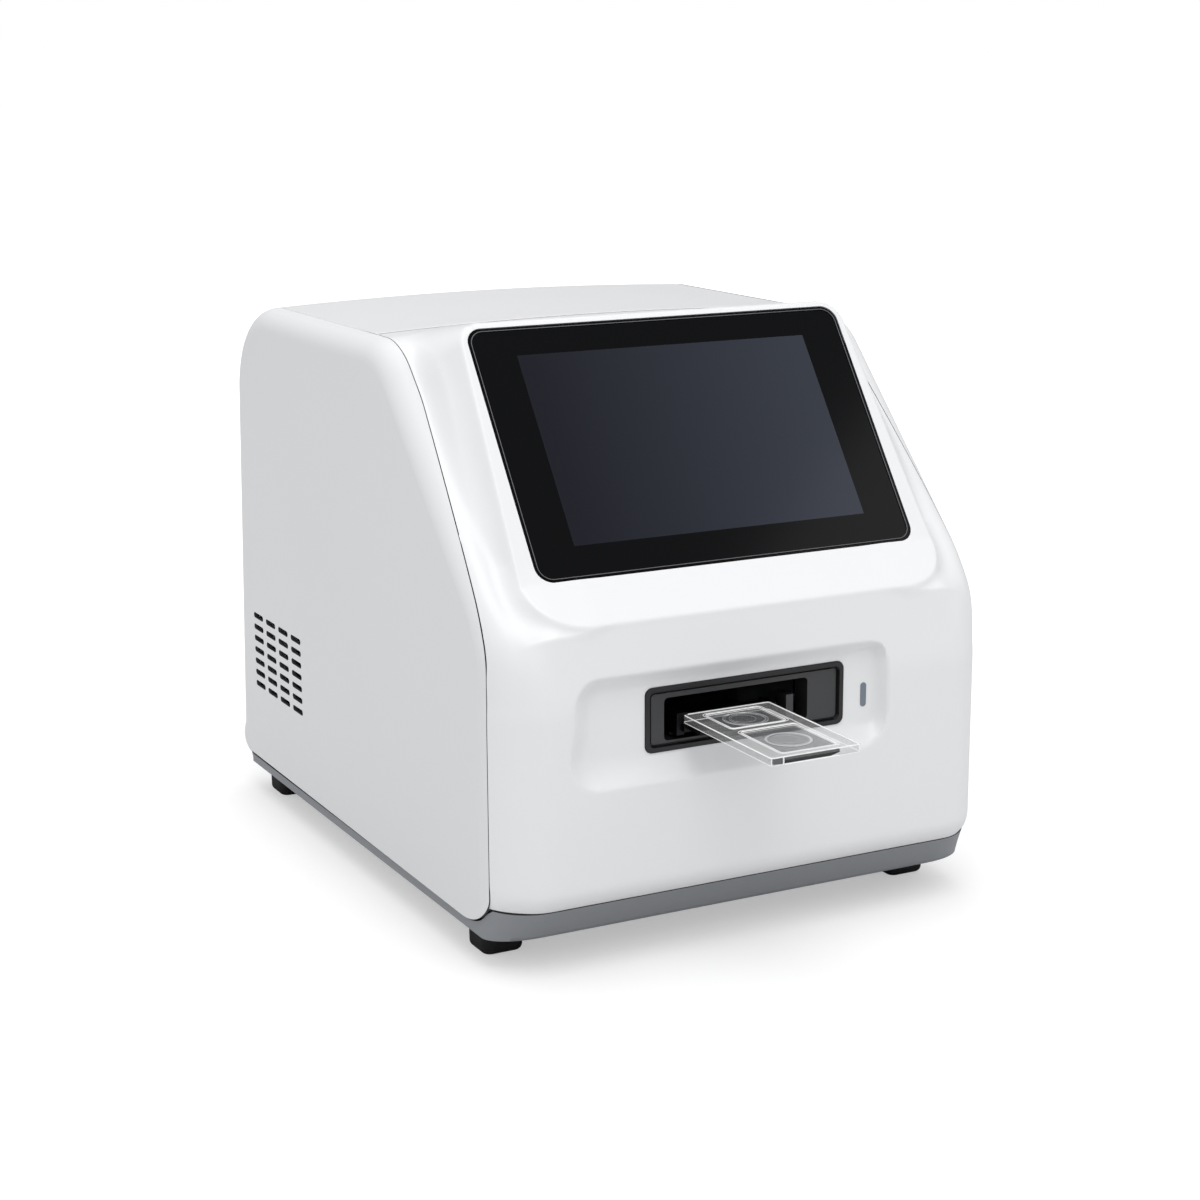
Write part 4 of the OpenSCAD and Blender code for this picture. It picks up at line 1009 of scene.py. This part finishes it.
for ob, node, slot_name in SHELLS:
    ob.data.materials.clear()
    ob.data.materials.append(LOOK[slot_name])
    # painted shade on the rims' walls: lighter on the cover, darker on the other shells
    ob.data.materials.append(seam_painted_light_shade if ob is cover else seam_painted_shade)
    stands_for(bake(ob), node)

# %% [markdown]
# ## Faces that differ
# The tray's open ledge lies in the light and keeps the tray's own grey, the fascia's rim at the cover
# lies in the light and gets a lighter painted shade, the wells' floors are cloudier than the slide,
# and the bezel gets a painted shade deep inside and at its rim. Masks would need unwrapping;
# choosing faces by their place is enough.
# %% Faces that differ
LEDGE_Y = 120 - Y0 * 1000         # the tray is open to the light from here on
COVER_RIM = (81, 185 - Z0 * 1000)  # the fascia's rim at the cover: half width, and height above
WELL_FLOOR = 69.7
BEZEL_DEEP, BEZEL_FACE = 7.05, 6.9
BEZEL_RIM = (35.35, 9.05)          # half sizes of the front face inside the rim


def paint(ob, index, chosen):
    """Gives the faces whose middle, in millimetres, passes the test another material slot."""
    count = 0
    for f in ob.data.polygons:
        c = ob.matrix_world @ f.center
        if chosen(c.x * 1000, (c.y - Y0) * 1000, (c.z - Z0) * 1000, f):
            f.material_index = index
            count += 1
    print(f"{ob.name}: {count} faces in {ob.data.materials[index].name}")


# faces in the bezel's painted shade: deep inside the slot, and the front face round its rim
def faces_in_bezel_painted_shade(x, y, z, _face):
    dx, dz = abs(x - BEZEL_MID[0]), abs(z - BEZEL_MID[1])
    return y > BEZEL_DEEP or (y < BEZEL_FACE and (dx > BEZEL_RIM[0] or dz > BEZEL_RIM[1]))


# slots for painted shade on the fascia's rim at the cover and in the bezel, and for the wells' cloudier
# floors
fascia.data.materials.append(seam_painted_light_shade)
nodes["counting_slide"].data.materials.append(chamber)
nodes["slot_bezel"].data.materials.append(bezel_painted_shade)
# faces in painted shade: the tray's open ledge goes back to its own grey, the fascia's rim at the cover
# gets the lighter painted shade, the bezel the darker one deep inside and at its rim
paint(tray, 0, lambda x, y, z, f: y > LEDGE_Y)
paint(fascia, 2, lambda x, y, z, f: f.material_index == 1 and z > COVER_RIM[1] and abs(x) < COVER_RIM[0])
paint(nodes["counting_slide"], 1, lambda x, y, z, f: abs(z - WELL_FLOOR) < 0.05)
paint(nodes["slot_bezel"], 1, faces_in_bezel_painted_shade)

# %% [markdown]
# ## Soft edges on the CAD pieces
# No real edge is sharp: a small radius catches a line of light. The pieces seen from outside get
# from 0.15 mm on the slide to 0.7 mm on the glass, whose bevel carries a painted highlight. A
# modifier leaves the CAD mesh as it is.
# %% Soft edges on the CAD pieces
BEVELS = {"slot_bezel": 0.3, "counting_slide": 0.15, "screen_glass": 0.7, "rear_panel": 0.3,
          "power_inlet": 0.3, "switch_housing": 0.3, "switch_rocker": 0.3, "slide_carriage": 0.3,
          "status_light": 0.15}
for name, width in BEVELS.items():
    soften(nodes[name], width, 35)
# the glass's bevel takes the painted highlight
nodes["screen_glass"].data.materials.append(glass_edge_highlight_paint)
nodes["screen_glass"].modifiers["bevel"].material = 1
print("pieces with soft edges:", len(BEVELS))

# %% [markdown]
# ## Thin bright lines
# Clear plastic and glass show themselves by the highlights on their edges. A bevel of 0.1 mm would be
# lost in the render, so each edge is a thin round line that carries a painted highlight: a curve with a
# bevel depth, turned into a mesh.
# %% Thin bright lines
def wires(name, runs, look, body="carriage"):
    """Thin round lines, for painted edge highlights and the wells' rings: each run is (points, radius,
    closed), in millimetres.
    """
    joined = bmesh.new()
    for pts, radius, closed in runs:
        cu = bpy.data.curves.new(name, "CURVE")
        cu.dimensions, cu.bevel_depth, cu.bevel_resolution = "3D", radius / 1000, 1
        cu.use_fill_caps = True
        sp = cu.splines.new("POLY")
        sp.points.add(len(pts) - 1)
        for q, (x, y, z) in zip(sp.points, pts):
            q.co = (*world(x, y, z), 1)
        sp.use_cyclic_u = closed
        ob = bpy.data.objects.new(name, cu)
        joined.from_mesh(bpy.data.meshes.new_from_object(ob))
        bpy.data.objects.remove(ob)
    ob = from_bmesh(name, joined)
    for f in ob.data.polygons:
        f.use_smooth = True
    ob.data.materials.append(look)
    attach(ob, body)
    print(f"{name}: {len(runs)} lines, {len(ob.data.polygons)} faces")


# %% [markdown]
# ## The slide's edges and rings
# The slide has an upper and a lower outline, front corners, and a raised rim round each of its two
# wells, whose floors carry faint turned rings. The cover glass has one line all round. Lines draw
# them all, the edges as painted highlights and the rings with a weak painted glow, since textures
# would blur at this size.
# %% The slide's edges and rings
SLIDE_X, SLIDE_Y, SLIDE_TOP, SLIDE_T = -10.4, (-48.2, 5.5), 70.3, 2.65
WELLS = [(-32.2, 25.0), (-6.6, 17.4)]            # middle and length
slide_long, slide_mid = SLIDE_Y[1] - SLIDE_Y[0], sum(SLIDE_Y) / 2
low = SLIDE_TOP - SLIDE_T
upright = (low + 0.1, SLIDE_TOP - 0.1)
runs = [(loop(SLIDE_X, slide_mid, 31.6, slide_long - 0.4, 0.9, SLIDE_TOP - 0.2), 0.2, True),
        (loop(SLIDE_X, slide_mid, 31.8, slide_long - 0.2, 0.9, low + 0.12), 0.1, True)]
for dx, dy, radius in ((-15.6, 0.4, 0.16), (15.6, 0.4, 0.16), (-11.5, 0.3, 0.26)):
    runs.append(([(SLIDE_X + dx, SLIDE_Y[0] + dy, z) for z in upright], radius, False))
for cy, well in WELLS:
    for across_by, along_by, r, down, radius in ((1.6, 1.6, 1.8, 0.1, 0.1), (0, 0, 1.2, 0.13, 0.13),
                                                 (-0.2, -0.2, 1.1, 0.55, 0.07)):
        runs.append((loop(SLIDE_X, cy, 20 + across_by, well + along_by, r, SLIDE_TOP - down), radius, True))
wires("slide_painted_edge_highlights", runs, slide_edge_painted_highlight)
RINGS = ((0, 0, 7.2, 0.06), (0, 0, 6.5, 0.035), (0.4, -0.3, 5.7, 0.04), (-0.5, 0.4, 4.0, 0.025))
wires("slide_rings", [(loop(SLIDE_X + dx, cy + dy, 2 * r, 2 * r, r, SLIDE_TOP - 0.55, 12), thin, True)
                      for cy, _well in WELLS for dx, dy, r, thin in RINGS], ring_clear_painted_glow)
glass_line = [(x, SCREEN[0] - q * CT, SCREEN[1] - q * ST)
              for x, q, _z in loop(0, GLASS_MID, 138.2, 88.3, 4.8, 0, 10)]
wires("glass_edge_highlight_line", [(glass_line, 0.16, True)], glass_edge_highlight_paint, body_of("screen_glass"))

# %% [markdown]
# ## The strip on the slide's front
# A dark strip with a slanted right end, and a short block beside it. They are outlines seen from
# the front, given a depth of 1.3 mm; a cube would need its corner cut.
# %% The strip on the slide's front
def flat_piece(name, outline_xz, y0, y1, slot_name):
    """A small block with the given outline seen from the front."""
    n = len(outline_xz)
    verts = [tuple(world(x, y, z)) for y in (y0, y1) for x, z in outline_xz]
    faces = [tuple(range(n)), tuple(range(2 * n - 1, n - 1, -1))]
    faces += [((k + 1) % n, k, k + n, (k + 1) % n + n) for k in range(n)]
    me = bpy.data.meshes.new(name)
    me.from_pydata(verts, [], faces)
    ob = add_object(name, me)
    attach(ob, "carriage")
    me.materials.append(LOOK[slot_name])
    return ob


STRIP = [(-11.1, 0.4), (5.2, 0.4), (8.3, 1.2), (8.3, 2.1), (-11.1, 2.1)]      # from the slide's lower front
STRIP_END = [(-15.0, 0.5), (-11.9, 0.4), (-11.9, 2.1), (-15.0, 2.0)]
pieces = [flat_piece(name, [(SLIDE_X + x, low + z) for x, z in outline], SLIDE_Y[0] + 0.06,
                     SLIDE_Y[0] + 1.4, "strip_grey")
          for name, outline in (("strip_shown", STRIP), ("strip_end", STRIP_END))]
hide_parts("slide_strip")
print("strip pieces:", len(pieces))

# %% [markdown]
# ## The floor
# A white sweep, as in a product studio. A matt plane takes the shadow, and the camera sees it
# lifted with distance, so that the shadow fades into white. A curved sweep would show its bend.
# %% The floor
def floor():
    me = bpy.data.meshes.new("floor")
    me.from_pydata([(-6, -6, 0), (6, -6, 0), (6, 9, 0), (-6, 9, 0)], [], [(0, 1, 2, 3)])
    ob = add_object("floor", me)
    mat, bsdf = material("floor_white")
    bsdf.inputs["Base Color"].default_value = (0.62, 0.62, 0.62, 1)
    bsdf.inputs["Roughness"].default_value = 0.9
    bsdf.inputs["Specular IOR Level"].default_value = 0.0
    bsdf.inputs["Emission Color"].default_value = (1, 1, 1, 1)
    here = add_node(mat, "TexCoord").outputs["Object"]
    far = add_node(mat, "VectorMath", links={0: here}, operation="LENGTH")
    away = add_node(mat, "MapRange",
                    {"From Min": 0.15, "From Max": 0.75, "To Min": 0.42, "To Max": 0.8},
                    {"Value": far.outputs["Value"]}, interpolation_type="SMOOTHSTEP")
    camera_ray = add_node(mat, "LightPath").outputs["Is Camera Ray"]
    lift = add_node(mat, "Math", links={0: camera_ray, 1: away.outputs["Result"]},
                    operation="MULTIPLY")
    mat.node_tree.links.new(lift.outputs[0], bsdf.inputs["Emission Strength"])
    me.materials.append(mat)


floor()
print("floor lifted to white for the camera")

# %% [markdown]
# ## The room
# White plastic is best lit by a white room. It is bright for the faces and dim for reflections,
# like a dark tent, so that the glass stays black. A picture of a studio couldn't be split in this
# way.
# %% The room
AMBIENT, TENT = 0.863, 0.12
studio = bpy.data.worlds.new("studio")
scene.world = studio
studio.use_nodes = True
background = studio.node_tree.nodes["Background"]
rays = add_node(studio, "LightPath").outputs
level = add_node(studio, "Mix", {2: AMBIENT, 3: TENT}, {0: rays["Is Glossy Ray"]})
white = add_node(studio, "Math", links={0: level.outputs[0], 1: rays["Is Camera Ray"]},
                 operation="MAXIMUM")
studio.node_tree.links.new(white.outputs[0], background.inputs["Strength"])
background.inputs["Color"].default_value = (1, 1, 1, 1)
print("room at", AMBIENT, "for light and", TENT, "for reflections")

# %% [markdown]
# ## The lamps
# Two large soft boxes, above in front and behind, draw wide highlights on the rolls and the top; a
# weak one on the right opens the shade. Small lamps would give hard shadows.
# %% The lamps
def softbox(name, at, aim, size_m, power):
    d = bpy.data.lights.new(name, "AREA")
    d.shape, d.size, d.size_y, d.energy = "RECTANGLE", size_m, size_m, power
    ob = add_object(name, d)
    ob.location = at
    ob.rotation_euler = (Vector(aim) - Vector(at)).to_track_quat("-Z", "Y").to_euler()


softbox("softbox_above", (-0.2, -0.6, 1.6), (0, 0, 0.1), 0.9, 6.4)
softbox("softbox_behind", (0.0, 0.5, 1.6), (0, 0, 0.1), 1.2, 4.3)
softbox("softbox_right", (1.3, -0.8, 1.2), (0, 0, 0.12), 0.7, 0.5)
print("lamps:", len(bpy.data.lights))

# %% [markdown]
# ## The camera
# It stands in front on the left, a little above, with a focal length of twice its picture's width,
# so that the instrument keeps its proportions. The Standard view transform keeps white plastic
# white.
# %% The camera
PICTURE = 1200                     # pixels
FOCAL = 2382.05                    # pixels
SENSOR = 36.0                      # millimetres
STANDS = (-384.8, -627.0, 281.1)   # millimetres from the front face
yaw, pitch, roll = (math.radians(v) for v in (27.488, 13.4234, -0.2652))
cam_data = bpy.data.cameras.new("camera")
cam_data.sensor_width, cam_data.lens = SENSOR, SENSOR * FOCAL / PICTURE
cam = add_object("camera", cam_data)
cam.matrix_world = (Matrix.Translation(world(*STANDS))
                    @ Matrix.Rotation(-yaw, 4, "Z") @ Matrix.Rotation(math.pi / 2 - pitch, 4, "X")
                    @ Matrix.Rotation(roll, 4, "Z"))
scene.camera = cam
scene.view_settings.view_transform = "Standard"
scene.render.resolution_x = scene.render.resolution_y = PICTURE
print("focal length", round(cam_data.lens, 2), "mm")
